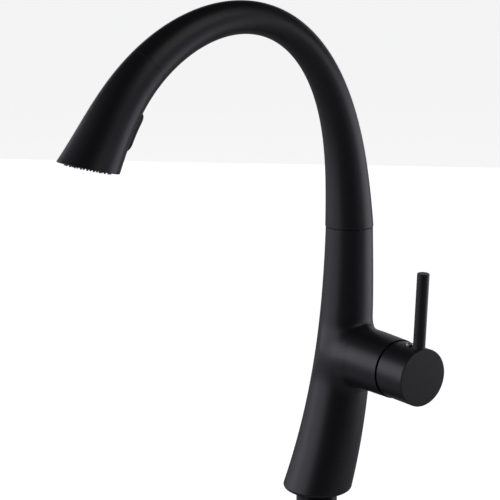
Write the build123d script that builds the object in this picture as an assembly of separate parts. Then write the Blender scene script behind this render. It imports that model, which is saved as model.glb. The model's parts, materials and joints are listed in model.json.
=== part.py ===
from build123d import *
import math
import os

# Pull-down kitchen faucet. Millimetres, +Z up. The origin is the centre of the base on the worktop's
# top face. The spout reaches towards -Y, and the lever's hub points to +X.

# ---- driving dimensions: body -------------------------------------------------------------
BODY_HEIGHT = 212.0        # worktop to the seam under the spout
BASE_RADIUS = 28.0
BODY_TOP_RADIUS = 18.7
BODY_SHIFT = 30.5          # how far the body leans back at its top
LEAN_POWER = 2.62          # how early the body straightens up
TAPER_POWER = 1.2
BASE_EDGE_ROUND = 2.5
BODY_WALL = 3.0
BASE_FLOOR = 6.0
BOSS_SECTIONS = [(0.30, 0.78), (0.70, 0.97)]   # shares of BASE_RADIUS along, and of BOSS_ROOT_RADIUS
BODY_SECTIONS = 9

# ---- driving dimensions: boss and lever ---------------------------------------------------
BOSS_HEIGHT = 111.0        # height of the boss's axis above the worktop
BOSS_RADIUS = 23.3         # at the rim
BOSS_ROOT_RADIUS = 24.0    # where it meets the body
BOSS_REACH = 64.7          # rim's distance from the symmetry plane
BOSS_BLEND = 9.0
HUB_GAP = 0.9
HUB_RADIUS = 22.5
HUB_LENGTH = 27.9
HUB_WALL = 2.0
HUB_END_THICK = 9.5
HUB_STEM_START = 8.0       # stem's boss in the hub starts this far outside the pivot
HUB_EDGE_CHAMFER = 0.5
PIVOT_AHEAD = 2.4          # lever's pivot, measured outwards from the hub's rear edge
LIFT_ANGLE = 20.0
SOCKET_GAP = 0.5
LEVER_RADIUS = 4.7
LEVER_TILT = 2.6
LEVER_TOP = 192.0          # height of the lever's tip above the worktop
LEVER_INSET = 5.0          # lever's axis, measured inwards from the hub's face
LEVER_EDGE_CHAMFER = 0.6
PLUG_RADIUS = 3.0
PLUG_PROUD = 1.2
PLUG_DISH = 0.9
PLUG_RIM = 0.8
PLUG_INSET = 15.6          # plug's axis, measured inwards from the hub's face
STEM_BOSS_RADIUS = 8.5
STEM_RADIUS = 4.0
STEM_SEAT = 2.0            # stem's end goes this far into the hub's face wall
SCREW_RADIUS = 2.5
SCREW_KEY = 1.25           # radius over the corners of the screw's hexagon socket
LEVER_SPIGOT_RADIUS = 3.0
LEVER_SPIGOT_DEPTH = 7.0   # below the hub's surface

# ---- driving dimensions: cartridge --------------------------------------------------------
CARTRIDGE_RADIUS = 17.5
CARTRIDGE_LENGTH = 20.0
CARTRIDGE_WALL = 1.8
NECK_RADIUS = 12.0
SLEEVE_RADIUS = 9.5
DISC_RADIUS = 14.5
DISC_THICK = 3.0
CARRIER_THICK = 2.5
PIN_HOLE_RADIUS = 1.5
CARTRIDGE_FOOT = 4.0
NUT_LENGTH = 5.0
VALVE_WALL = 2.4
VALVE_BORE_START = 2.0     # valve body's bore in the shell, from the symmetry plane
VALVE_NOSE_START = 0.5
VALVE_NOSE_END = 22.0
VALVE_NOSE_RADIUS = 14.5
PORT_SPOTS = [(-6, -6), (6, -6), (0, 7)]   # hot, cold and mixed water, across the cartridge's axis
PORT_START = 10.0
PORT_RADIUS = 2.6
DOME_THICK = 1.2
DOME_FRONT = 5.0           # dome ends this far ahead of the pivot

# ---- driving dimensions: spout ------------------------------------------------------------
SPOUT_REACH = 237.6        # swivel axis to the centre of the spray face
SPOUT_RISE = 169.0         # seam to the top of the spout's centre line
OUTLET_RISE = 71.8         # seam to the centre of the spray face
# Control points of the centre line, as shares of reach and rise, with the tube's radius there.
# The last point's height is OUTLET_RISE.
SPOUT_CONTROLS = [
    (0.000, 0.000, 19.1),
    (0.016, 0.414, 15.8),
    (0.046, 0.609, 12.2),
    (0.127, 1.593, 4.6),
    (0.847, 0.918, 19.2),
    (0.827, 0.808, 10.5),
    (1.000, None, 22.4),
]
SEAM_GAP = 0.5
SPOUT_WALL = 1.6
SPOUT_SECTIONS = 15
SWIVEL_RADIUS = 12.4
SWIVEL_BORE = 10.9
SWIVEL_DEPTH = 26.0        # below the seam
SWIVEL_LEDGE = 3.0         # wall left under the sleeve's seat
SWIVEL_HEIGHT = 26.0       # above the seam
BUSH_THICK = 1.6
BUSH_HEIGHT = 6.0
RUN_FIT = 0.06             # radial clearance of turning and sliding fits

# ---- driving dimensions: spray head -------------------------------------------------------
HEAD_SPLIT = 0.785         # where along the centre line the head parts from the spout
HEAD_GAP = 0.15
HEAD_WALL = 1.8
HEAD_SECTIONS = 8
FACE_OBLIQUE = 18.0        # the spray face's turn from square to the centre line
RIM_WALL = 2.2
PULL_LENGTH = 400.0
SPIGOT_RADIUS = 10.6
SPIGOT_LENGTH = 14.0
COLLAR_CLEARANCE = 0.4
COLLAR_SHARE = 0.035       # docking collar's length, as a share of the centre line's parameter
HOSE_RADIUS = 6.0
HOSE_BORE = 3.4
ROCKER_PLACE = 0.912       # along the centre line
ROCKER_LENGTH = 30.0
ROCKER_WIDTH = 14.0
ROCKER_PROUD = 3.1
ROCKER_DISH = 0.9
ROCKER_DEPTH = 3.6         # below the head's surface
ROCKER_GAP = 0.6
PIN_RADIUS = 1.0
PIN_DEPTH = 6.0
PIN_REACH = 7.2
SPOOL_RADIUS = 3.0
SPOOL_NECK = 1.2
SPOOL_DEPTH = 13.0
SPOOL_HALF = 9.5
PLATE_THICK = 2.6
PLATE_RECESS = 0.9
RING_THICK = 1.5
NOZZLE_RADIUS = 0.95
NOZZLE_PROUD = 1.3
NOZZLE_RINGS = [(16.0, 22), (12.2, 16)]
AERATOR_RADIUS = 8.0

# ---- driving dimensions: mounting ---------------------------------------------------------
SHANK_RADIUS = 16.5
SHANK_BORE = 13.5
SHANK_LENGTH = 60.0
DECK_THICK = 20.0
GASKET_THICK = 1.6
GASKET_INSET = 3.5         # groove's outer edge, inwards from the base's edge
GASKET_LEDGE = 2.0         # groove's inner edge, outwards from the shank
GASKET_FIT = 0.2
WASHER_RADIUS = 25.0
RUBBER_THICK = 2.5
STEEL_THICK = 2.0
MOUNT_NUT_LENGTH = 11.0
MOUNT_NUT_RADIUS = 22.0


# ---- the two leading curves ---------------------------------------------------------------
def body_centre(z):
    return BODY_SHIFT * (1 - (1 - z / BODY_HEIGHT) ** LEAN_POWER)


def body_radius(z):
    return BODY_TOP_RADIUS + (BASE_RADIUS - BODY_TOP_RADIUS) * (1 - z / BODY_HEIGHT) ** TAPER_POWER


def spout_controls():
    """Control points of the spout: y, z and radius."""
    points = []
    for along, up, radius in SPOUT_CONTROLS:
        rise = OUTLET_RISE if up is None else SPOUT_RISE * up
        points.append((BODY_SHIFT - SPOUT_REACH * along, BODY_HEIGHT + rise, radius))
    return points


def spout_at(t):
    """Centre line's y and z, and the tube's radius, at share t of the Bezier curve."""
    points = spout_controls()
    order = len(points) - 1
    weights = [math.comb(order, i) * t**i * (1 - t) ** (order - i) for i in range(order + 1)]
    return [sum(w * p[k] for w, p in zip(weights, points)) for k in range(3)]


def spout_heading(t):
    """Unit direction of the centre line at t, in y and z."""
    step = 0.001
    y0, z0, _ = spout_at(max(t - step, 0))
    y1, z1, _ = spout_at(min(t + step, 1))
    length = math.hypot(y1 - y0, z1 - z0)
    return (y1 - y0) / length, (z1 - z0) / length


def section_plane(t):
    """Plane square to the centre line; past the head's split it turns steadily to the spray face."""
    y, z, _ = spout_at(t)
    dy, dz = spout_heading(t)
    if t == 0:
        dy, dz = 0.0, 1.0
    turn = math.radians(FACE_OBLIQUE) * max(0.0, (t - HEAD_SPLIT) / (1 - HEAD_SPLIT)) ** 1.5
    ny = dy * math.cos(turn) - dz * math.sin(turn)
    nz = dy * math.sin(turn) + dz * math.cos(turn)
    return Plane(origin=(0, y, z), x_dir=(1, 0, 0), z_dir=(0, ny, nz))


def canal(start, end, count, offset):
    """Solid round tube along the centre line from start to end, its radius changed by offset."""
    sections = []
    for i in range(count):
        t = start + (end - start) * i / (count - 1)
        sections.append(section_plane(t) * Circle(spout_at(t)[2] + offset))
    return loft(sections)


BOSS_Y = body_centre(BOSS_HEIGHT)
HUB_REAR = BOSS_REACH + HUB_GAP
HUB_FACE = HUB_REAR + HUB_LENGTH
PIVOT_X = HUB_REAR + PIVOT_AHEAD
LIP_SPHERE = math.hypot(HUB_RADIUS, PIVOT_AHEAD)
SOCKET_SPHERE = LIP_SPHERE + SOCKET_GAP
LIP_INNER = LIP_SPHERE - HUB_WALL
DOME_SPHERE = LIP_INNER - SOCKET_GAP
LIP_REACH = HUB_RADIUS * math.sin(math.radians(LIFT_ANGLE)) + PIVOT_AHEAD
VALVE_END = PIVOT_X - LIP_REACH - 1.2
CARTRIDGE_START = VALVE_END - CARTRIDGE_LENGTH


def x_axis(x):
    """Plane across the boss's axis at x, facing outwards."""
    return Plane(origin=(x, BOSS_Y, BOSS_HEIGHT), x_dir=(0, 1, 0), z_dir=(1, 0, 0))


def x_rod(start, end, radius):
    return extrude(x_axis(start) * Circle(radius), amount=end - start)


def x_tube(start, end, outer, inner):
    return extrude(x_axis(start) * (Circle(outer) - Circle(inner)), amount=end - start)


def pivot_ball(radius):
    return Pos(PIVOT_X, BOSS_Y, BOSS_HEIGHT) * Sphere(radius)


def tube_on(plane, start, end, outer, inner):
    """Tube along a plane's normal, from start to end."""
    ring = Circle(outer) - Circle(inner) if inner > 0 else Circle(outer)
    return plane * (Pos(0, 0, start) * extrude(ring, amount=end - start))


# ---- body ---------------------------------------------------------------------------------
def make_body_shell():
    outer = loft([
        Pos(0, body_centre(z), z) * Circle(body_radius(z))
        for z in [BODY_HEIGHT * i / (BODY_SECTIONS - 1) for i in range(BODY_SECTIONS)]
    ])
    foot = outer.edges().group_by(Axis.Z)[0]
    outer = fillet(foot, BASE_EDGE_ROUND)
    boss = loft([
        *[x_axis(reach * BASE_RADIUS) * Circle(BOSS_ROOT_RADIUS * size) for reach, size in BOSS_SECTIONS],
        x_axis(0.6 * BOSS_REACH) * Circle(BOSS_ROOT_RADIUS),
        x_axis(BOSS_REACH) * Circle(BOSS_RADIUS),
    ])
    joined = outer + boss
    root_edges = [
        edge for edge in joined.edges()
        if 1 < edge.center().X < BASE_RADIUS
        and BOSS_HEIGHT - 40 < edge.center().Z < BOSS_HEIGHT + 40
        and edge.length > 20
    ]
    joined = fillet(root_edges, BOSS_BLEND)
    collar_base = BODY_HEIGHT - SWIVEL_DEPTH - SWIVEL_LEDGE
    cavity = loft([
        Pos(0, body_centre(z), z) * Circle(body_radius(z) - BODY_WALL)
        for z in [BASE_FLOOR + (collar_base - BASE_FLOOR) * i / 6 for i in range(7)]
    ])
    shell = joined - cavity
    shell -= Pos(0, BODY_SHIFT, collar_base - 1) * extrude(Circle(SWIVEL_RADIUS), amount=SWIVEL_DEPTH + 9)
    shell -= Pos(0, 0, -1) * extrude(Circle(SHANK_RADIUS), amount=BASE_FLOOR + 2)
    groove = Circle(BASE_RADIUS - GASKET_INSET) - Circle(SHANK_RADIUS + GASKET_LEDGE)
    shell -= extrude(groove, amount=GASKET_THICK)
    valve_radius = CARTRIDGE_RADIUS + VALVE_WALL
    shell -= x_rod(VALVE_BORE_START, VALVE_END + 2, valve_radius)
    shell -= pivot_ball(SOCKET_SPHERE) & x_rod(VALVE_END, HUB_FACE, HUB_RADIUS + 9)
    return shell


def make_base_gasket():
    outer = BASE_RADIUS - GASKET_INSET - GASKET_FIT
    return extrude(Circle(outer) - Circle(SHANK_RADIUS + GASKET_LEDGE + GASKET_FIT), amount=GASKET_THICK)


# ---- mounting under the worktop -----------------------------------------------------------
def make_shank():
    shank = Pos(0, 0, -SHANK_LENGTH) * extrude(
        Circle(SHANK_RADIUS) - Circle(SHANK_BORE), amount=SHANK_LENGTH + BASE_FLOOR
    )
    tip = shank.edges().group_by(Axis.Z)[0]
    return chamfer(tip, 0.8)


def ring_below(top, thick, outer, inner):
    return Pos(0, 0, top - thick) * extrude(Circle(outer) - Circle(inner), amount=thick)


def make_rubber_washer():
    return ring_below(-DECK_THICK, RUBBER_THICK, WASHER_RADIUS, SHANK_RADIUS + 0.5)


def make_steel_washer():
    return ring_below(-DECK_THICK - RUBBER_THICK, STEEL_THICK, WASHER_RADIUS, SHANK_RADIUS + 0.4)


def make_mounting_nut():
    top = -DECK_THICK - RUBBER_THICK - STEEL_THICK
    profile = RegularPolygon(MOUNT_NUT_RADIUS, 6, major_radius=False) - Circle(SHANK_RADIUS)
    return Pos(0, 0, top - MOUNT_NUT_LENGTH) * extrude(profile, amount=MOUNT_NUT_LENGTH)


# ---- valve and cartridge ------------------------------------------------------------------
NIPPLE_RADIUS = 3.6
NIPPLE_SPOTS = {
    "hot_inlet_nipple": (13.0, -5.5),
    "cold_inlet_nipple": (13.0, 4.5),
    "outlet_nipple": (5.0, -0.5),
}
NIPPLE_TOP = BOSS_HEIGHT - 9.0
NIPPLE_LENGTH = 24.0


def make_valve_body():
    valve = x_rod(VALVE_NOSE_END, VALVE_END, CARTRIDGE_RADIUS + VALVE_WALL)
    valve += x_rod(VALVE_NOSE_START, VALVE_NOSE_END, VALVE_NOSE_RADIUS)
    valve -= x_rod(CARTRIDGE_START, VALVE_END + 1, CARTRIDGE_RADIUS)
    for dx, dy in NIPPLE_SPOTS.values():
        spot = Pos(dx, BOSS_Y + dy, NIPPLE_TOP - NIPPLE_LENGTH)
        valve -= spot * extrude(Circle(NIPPLE_RADIUS), amount=NIPPLE_LENGTH)
    return valve - ports(PORT_START, CARTRIDGE_START + 1, PORT_RADIUS)


def ports(start, end, radius):
    """Cutter of the three water ports, from start to end."""
    cutter = Part()
    for dy, dz in PORT_SPOTS:
        cutter += x_axis(start) * (Pos(dy, dz, 0) * extrude(Circle(radius), amount=end - start))
    return cutter


def make_nipple(spot):
    dx, dy = spot
    base = Pos(dx, BOSS_Y + dy, NIPPLE_TOP - NIPPLE_LENGTH)
    return base * extrude(Circle(NIPPLE_RADIUS) - Circle(NIPPLE_RADIUS - 1.2), amount=NIPPLE_LENGTH)


def make_cartridge_base():
    base = x_rod(CARTRIDGE_START, FIXED_DISC_START, CARTRIDGE_RADIUS)
    return base - ports(CARTRIDGE_START - 1, FIXED_DISC_START + 1, PORT_RADIUS + 0.2)


FIXED_DISC_START = CARTRIDGE_START + CARTRIDGE_FOOT
MOVING_DISC_START = FIXED_DISC_START + DISC_THICK
CARRIER_START = MOVING_DISC_START + DISC_THICK + 0.1
SLIDE_ARM = PIVOT_X - CARRIER_START - 1.5
MOVING_DISC_RADIUS = DISC_RADIUS - SLIDE_ARM * math.sin(math.radians(LIFT_ANGLE)) - 0.4


def make_fixed_disc():
    disc = x_rod(FIXED_DISC_START, FIXED_DISC_START + DISC_THICK, DISC_RADIUS)
    return disc - ports(FIXED_DISC_START - 1, MOVING_DISC_START + 1, PORT_RADIUS - 0.2)


def make_moving_disc():
    disc = x_rod(MOVING_DISC_START + 0.05, CARRIER_START - 0.05, MOVING_DISC_RADIUS)
    return disc - x_rod(MOVING_DISC_START - 1, MOVING_DISC_START + 1.5, MOVING_DISC_RADIUS * 0.5)


def make_cartridge_housing():
    inner = CARTRIDGE_RADIUS - CARTRIDGE_WALL
    housing = x_tube(FIXED_DISC_START, VALVE_END, CARTRIDGE_RADIUS, inner)
    housing += x_tube(VALVE_END - 2, VALVE_END, CARTRIDGE_RADIUS, SLEEVE_RADIUS + RUN_FIT)
    housing += x_tube(VALVE_END, PIVOT_X + 1.5, NECK_RADIUS, SLEEVE_RADIUS + RUN_FIT)
    return housing


def make_turning_sleeve():
    """Disc carrier and the sleeve that holds the pivot pin; it turns with the temperature."""
    sleeve = x_rod(CARRIER_START, CARRIER_START + CARRIER_THICK, DISC_RADIUS)
    sleeve += x_rod(CARRIER_START + CARRIER_THICK, PIVOT_X + 3.5, SLEEVE_RADIUS)
    width = 2 * (STEM_RADIUS + 0.3)
    height = 2 * ((PIVOT_X - CARRIER_START) * math.tan(math.radians(LIFT_ANGLE)) + STEM_RADIUS + 0.8)
    slot = x_axis(CARRIER_START - 1) * Rectangle(width, height)
    sleeve -= extrude(slot, amount=PIVOT_X - CARRIER_START + 8)
    return sleeve - pin_hole(PIN_HOLE_RADIUS)


def pin_hole(radius):
    """Cutter along the lever's pivot."""
    side = Plane(origin=(PIVOT_X, BOSS_Y - 20, BOSS_HEIGHT), x_dir=(1, 0, 0), z_dir=(0, 1, 0))
    return extrude(side * Circle(radius), amount=40)


def make_pivot_pin():
    plane = Plane(
        origin=(PIVOT_X, BOSS_Y - SLEEVE_RADIUS + 0.4, BOSS_HEIGHT), x_dir=(1, 0, 0), z_dir=(0, 1, 0)
    )
    return extrude(plane * Circle(PIN_HOLE_RADIUS), amount=2 * SLEEVE_RADIUS - 0.8)


def make_cartridge_nut():
    return x_tube(VALVE_END, VALVE_END + NUT_LENGTH, CARTRIDGE_RADIUS - 1.0, NECK_RADIUS + 0.2)


def make_dome_cap():
    """Thin round cap over the nut; the hub's lip glides over it."""
    back = VALVE_END + NUT_LENGTH
    inner_sphere = DOME_SPHERE - DOME_THICK
    front = DOME_FRONT
    ring = [
        (back, NECK_RADIUS + 0.2),
        (back, math.sqrt(DOME_SPHERE**2 - (PIVOT_X - back) ** 2)),
        (PIVOT_X + front, math.sqrt(DOME_SPHERE**2 - front**2)),
        (PIVOT_X + front, math.sqrt(inner_sphere**2 - front**2)),
        (back + DOME_THICK, math.sqrt(inner_sphere**2 - (PIVOT_X - back - DOME_THICK) ** 2)),
        (back + DOME_THICK, NECK_RADIUS + 0.2),
    ]
    outline = Polyline(ring[0], ring[1])
    outline += ThreePointArc(ring[1], (PIVOT_X, DOME_SPHERE), ring[2])
    outline += Line(ring[2], ring[3])
    outline += ThreePointArc(ring[3], (PIVOT_X, inner_sphere), ring[4])
    outline += Polyline(ring[4], ring[5], ring[0])
    profile = Plane(origin=(0, BOSS_Y, BOSS_HEIGHT), x_dir=(1, 0, 0), z_dir=(0, -1, 0)) * make_face(outline)
    return revolve(profile, Axis((0, BOSS_Y, BOSS_HEIGHT), (1, 0, 0)))


# ---- lever --------------------------------------------------------------------------------
SCREW_LINE = Plane(origin=(HUB_FACE - PLUG_INSET, BOSS_Y, BOSS_HEIGHT), x_dir=(1, 0, 0), z_dir=(0, 0, 1))


def make_handle_hub():
    outer = x_rod(PIVOT_X, HUB_FACE, HUB_RADIUS)
    outer += x_rod(HUB_REAR, PIVOT_X, HUB_RADIUS)
    outer = chamfer(outer.edges().group_by(Axis.X)[-1], HUB_EDGE_CHAMFER)
    hollow = x_rod(HUB_REAR - 1, HUB_FACE - HUB_END_THICK, HUB_RADIUS - HUB_WALL)
    hub = outer - hollow
    hub += x_rod(PIVOT_X + HUB_STEM_START, HUB_FACE - HUB_END_THICK, STEM_BOSS_RADIUS)
    hub -= x_rod(PIVOT_X, HUB_FACE - HUB_END_THICK + STEM_SEAT, STEM_RADIUS)
    hub -= tube_on(SCREW_LINE, STEM_RADIUS - 0.5, STEM_BOSS_RADIUS + 1, SCREW_RADIUS, 0)
    hub -= tube_on(SCREW_LINE, HUB_RADIUS - HUB_WALL - 1, HUB_RADIUS + 1, PLUG_RADIUS, 0)
    return hub - lever_spigot()


def lever_plane():
    """Origin on the hub's axis under the lever, normal along the lever."""
    lean = math.radians(LEVER_TILT)
    return Plane(
        origin=(HUB_FACE - LEVER_INSET - HUB_RADIUS * math.tan(lean), BOSS_Y, BOSS_HEIGHT),
        x_dir=(math.cos(lean), 0, -math.sin(lean)),
        z_dir=(math.sin(lean), 0, math.cos(lean)),
    )


def make_lever_rod():
    length = (LEVER_TOP - BOSS_HEIGHT) / math.cos(math.radians(LEVER_TILT))
    plane = lever_plane()
    rod = plane * (Pos(0, 0, HUB_RADIUS - 2) * extrude(Circle(LEVER_RADIUS), amount=length - HUB_RADIUS + 2))
    rod = chamfer(rod.edges().group_by(Axis.Z)[-1], LEVER_EDGE_CHAMFER)
    rod -= x_rod(HUB_REAR, HUB_FACE + 10, HUB_RADIUS)
    return rod + lever_spigot()


def lever_spigot():
    """The lever's narrow foot, screwed into the hub."""
    return tube_on(lever_plane(), HUB_RADIUS - LEVER_SPIGOT_DEPTH, HUB_RADIUS + 1, LEVER_SPIGOT_RADIUS, 0)


def make_stem():
    """Steel stem: a square-set shaft in the hub, with its inner end in the disc carrier."""
    stem = x_rod(CARRIER_START + 0.6, HUB_FACE - HUB_END_THICK + STEM_SEAT, STEM_RADIUS)
    return stem - pin_hole(PIN_HOLE_RADIUS + RUN_FIT)


def make_set_screw():
    screw = tube_on(SCREW_LINE, STEM_RADIUS, STEM_BOSS_RADIUS - 0.3, SCREW_RADIUS, 0)
    socket = extrude(RegularPolygon(SCREW_KEY, 6), amount=3)
    return screw - SCREW_LINE * (Pos(0, 0, STEM_BOSS_RADIUS - 2.3) * socket)


def make_hub_plug():
    plug = tube_on(SCREW_LINE, HUB_RADIUS - HUB_WALL, HUB_RADIUS + PLUG_PROUD, PLUG_RADIUS, 0)
    floor = HUB_RADIUS + PLUG_PROUD - PLUG_DISH
    return plug - tube_on(SCREW_LINE, floor, HUB_RADIUS + 3, PLUG_RADIUS - PLUG_RIM, 0)


# ---- swivel -------------------------------------------------------------------------------
SWIVEL_AXIS = Plane(origin=(0, BODY_SHIFT, BODY_HEIGHT))
BUSH_OUTER = SWIVEL_RADIUS + BUSH_THICK
BUSH_LEVELS = [2.0, 13.0]


def make_swivel_sleeve():
    return tube_on(SWIVEL_AXIS, -SWIVEL_DEPTH, SWIVEL_HEIGHT, SWIVEL_RADIUS, SWIVEL_BORE)


def make_swivel_bushes():
    rings = [
        tube_on(SWIVEL_AXIS, level, level + BUSH_HEIGHT, BUSH_OUTER, SWIVEL_RADIUS) for level in BUSH_LEVELS
    ]
    return Compound(children=rings)


def make_swivel_seal():
    level = BUSH_LEVELS[0] + BUSH_HEIGHT + 2.0
    return tube_on(SWIVEL_AXIS, level, level + 1.8, BUSH_OUTER - 0.1, SWIVEL_RADIUS)


def make_snap_ring():
    ring = tube_on(SWIVEL_AXIS, SWIVEL_HEIGHT - 5.5, SWIVEL_HEIGHT - 4.3, BUSH_OUTER - 0.2, SWIVEL_RADIUS)
    mouth = SWIVEL_AXIS * (Pos(BUSH_OUTER, 0, SWIVEL_HEIGHT - 5) * Box(8, 5, 4))
    return ring - mouth


# ---- spout --------------------------------------------------------------------------------
def make_spout_tube():
    outer = canal(0, HEAD_SPLIT, SPOUT_SECTIONS, 0.0)
    inner = canal(0, HEAD_SPLIT, SPOUT_SECTIONS, -SPOUT_WALL)
    inner -= tube_on(SWIVEL_AXIS, -1, SWIVEL_HEIGHT - 6, 40, 0)
    spout = outer - inner
    spout -= tube_on(SWIVEL_AXIS, -1, SEAM_GAP, 40, 0)
    spout -= tube_on(SWIVEL_AXIS, -1, SWIVEL_HEIGHT - 4, BUSH_OUTER + RUN_FIT, 0)
    return spout


DOCK = section_plane(HEAD_SPLIT)


def make_docking_collar():
    ring = canal(HEAD_SPLIT - COLLAR_SHARE, HEAD_SPLIT, 4, -SPOUT_WALL - 0.02)
    ring -= tube_on(DOCK, -40, 5, SPIGOT_RADIUS + COLLAR_CLEARANCE, 0)
    groove = tube_on(DOCK, -3.2, 1, SPIGOT_RADIUS + COLLAR_CLEARANCE + 1.6, 0)
    return ring - groove


def make_dock_magnet():
    inner = SPIGOT_RADIUS + COLLAR_CLEARANCE
    return tube_on(DOCK, -3.2, -0.4, inner + 1.5, inner + 0.1)


# ---- hose ---------------------------------------------------------------------------------
HOSE_BOTTOM = -74.0
HOSE_POINTS = [
    (-4.5, -2.5, HOSE_BOTTOM),
    (-4.5, -2.5, -12.0),
    (-9.0, 17.0, 62.0),
    (-7.5, 29.0, 140.0),
    (0.0, 30.5, 196.0),
    (0.0, 28.5, 248.9),
    (0.0, 19.9, 295.9),
    (0.0, 3.4, 334.7),
    (0.0, -22.6, 364.9),
    (0.0, -58.5, 381.3),
    (0.0, -100.1, 380.8),
]
HOSE_LEAD = 3.0            # hose stops this far above the head's split
HOSE_LAST_RUN = 18.0
NUT_SEAT = 3.2
NUT_SEAT_RADIUS = 8.4
BALL_PLACE = 9.2
BALL_RADIUS = 5.2


def hose_path():
    """Polyline whose corners are rounded with tangent arcs; it ends on the docking axis."""
    points = [Vector(*p) for p in HOSE_POINTS]
    end = DOCK.origin - DOCK.z_dir * HOSE_LEAD
    points.append(end - DOCK.z_dir * HOSE_LAST_RUN)
    points.append(end)
    radii = []
    for before, corner, after in zip(points, points[1:], points[2:]):
        turn = math.radians((corner - before).get_angle(after - corner))
        run = min((corner - before).length, (after - corner).length)
        radii.append(0.45 * run / math.tan(turn / 2))
    print("hose radii", [round(r) for r in radii])
    return FilletPolyline(*points, radius=radii)


def make_pull_hose(path):
    start = Plane(origin=path @ 0, z_dir=path % 0)
    outer = sweep(start * Circle(HOSE_RADIUS), path=path)
    inner = sweep(start * Circle(HOSE_BORE), path=path)
    hose = outer - inner
    print("hose length", round(path.length, 1), "volume", round(hose.volume), "expected",
          round(math.pi * (HOSE_RADIUS**2 - HOSE_BORE**2) * path.length))
    return hose


def make_hose_end_fitting():
    bottom = Plane(origin=HOSE_POINTS[0], z_dir=(0, 0, -1))
    fitting = tube_on(bottom, 0, 5, 8.0, HOSE_BORE)
    fitting += tube_on(bottom, 5, 19, 6.0, HOSE_BORE)
    return fitting


def make_hose_ferrule():
    return tube_on(DOCK, -HOSE_LEAD - 9, -HOSE_LEAD, HOSE_RADIUS + 0.9, HOSE_RADIUS + 0.05)


def make_hose_stem():
    """Barbed stem in the hose's end, with the ball that lets the spray head turn."""
    stem = tube_on(DOCK, -HOSE_LEAD - 9, BALL_PLACE, HOSE_BORE - 0.1, 2.0)
    stem += tube_on(DOCK, -HOSE_LEAD, -HOSE_LEAD + 1.6, HOSE_RADIUS, 2.0)
    ball = DOCK * (Pos(0, 0, BALL_PLACE) * Sphere(BALL_RADIUS)) - tube_on(DOCK, -10, 20, 2.0, 0)
    return stem + ball


def make_hose_nut():
    return tube_on(DOCK, -HOSE_LEAD + 1.8, NUT_SEAT - 0.3, NUT_SEAT_RADIUS - 0.4, HOSE_BORE)


# ---- spray head ---------------------------------------------------------------------------
OUTLET = section_plane(1.0)


def rocker_plane():
    """Origin on the head's surface facing the body, normal outwards, y towards the spray face."""
    step = 0.01
    places = []
    for t in (ROCKER_PLACE - step, ROCKER_PLACE, ROCKER_PLACE + step):
        y, z, radius = spout_at(t)
        normal = section_plane(t).z_dir
        places.append((y - normal.Z * radius, z + normal.Y * radius))
    along = Vector(0, places[2][0] - places[0][0], places[2][1] - places[0][1]).normalized()
    outwards = Vector(1, 0, 0).cross(along)
    return Plane(origin=(0, *places[1]), x_dir=(1, 0, 0), z_dir=outwards)


ROCKER = rocker_plane()


def rocker_slot(length, width):
    return SlotOverall(length, width, rotation=90)


def make_head_shell():
    outer = canal(HEAD_SPLIT, 1.0, HEAD_SECTIONS, 0.0)
    inner = canal(HEAD_SPLIT, 1.0, HEAD_SECTIONS, -HEAD_WALL)
    inner -= tube_on(DOCK, -5, HEAD_GAP + 2.2, 60, 0)
    shell = outer - inner
    shell -= tube_on(DOCK, -5, HEAD_GAP, 60, 0)
    shell -= tube_on(DOCK, -5, 8, SPIGOT_RADIUS, 0)
    plate_back = -PLATE_RECESS - PLATE_THICK
    shell -= tube_on(OUTLET, plate_back, 5, spout_at(1.0)[2] - RIM_WALL, 0)
    shell -= tube_on(OUTLET, plate_back - RING_THICK, plate_back, face_ring_radius(), 0)
    pocket = rocker_slot(ROCKER_LENGTH + 2 * ROCKER_GAP, ROCKER_WIDTH + 2 * ROCKER_GAP)
    shell -= ROCKER * (Pos(0, 0, -7) * extrude(pocket, amount=14))
    return shell


def make_docking_spigot():
    """Plug of the spray head: a wide mouth for the hose's nut, then the seat of its ball."""
    spigot = tube_on(DOCK, -SPIGOT_LENGTH, 15, SPIGOT_RADIUS, 0)
    spigot += tube_on(DOCK, 5.2, 8, SPIGOT_RADIUS + 2.0, 0)
    spigot -= tube_on(DOCK, -SPIGOT_LENGTH - 1, NUT_SEAT, NUT_SEAT_RADIUS, 0)
    spigot -= tube_on(DOCK, 0, 20, BALL_RADIUS + 0.3, 0)
    return spigot


def make_spigot_magnet():
    return tube_on(DOCK, 2.6, 5.1, SPIGOT_RADIUS + 1.9, SPIGOT_RADIUS + 0.05)


def make_inlet_barrel():
    return tube_on(DOCK, 15, 26, 9.0, 7.2)


def make_inlet_filter():
    return tube_on(DOCK, 15.4, 16.4, 7.1, 1.0)


def make_check_valve():
    valve = tube_on(DOCK, 16.6, 25, 7.1, 0)
    return valve - tube_on(DOCK, 16, 22, 4.5, 0)


CORE_DEPTH = 19.0
CORE_RADIUS = 9.0
CORE_SPAN = (-16, 12)      # along the head
CORE_BLOCK = (14, 26, 8)   # block around the diverter's bore
CORE_CHEEK = (2.0, 7, 8)   # cheeks that hold the rocker's pin
CHEEK_DEPTH = 8.0


def make_head_core():
    """Water body with a cradle for the rocker's pin and a bore for the diverter."""
    core = tube_on(head_line(CORE_DEPTH), *CORE_SPAN, CORE_RADIUS, 0)
    core += ROCKER * (Pos(0, 0, -SPOOL_DEPTH) * Box(*CORE_BLOCK))
    for side in (-1, 1):
        core += ROCKER * (Pos(side * (PIN_REACH - 1.2), 0, -CHEEK_DEPTH) * Box(*CORE_CHEEK))
    core -= tube_on(head_line(SPOOL_DEPTH), -SPOOL_HALF - 1.5, SPOOL_HALF + 1.5, SPOOL_RADIUS + RUN_FIT, 0)
    core -= ROCKER * (Pos(0, 0, -SPOOL_DEPTH + 3) * Box(4.5, 7, 7))
    return core - rocker_pin_hole(PIN_RADIUS)


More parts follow.
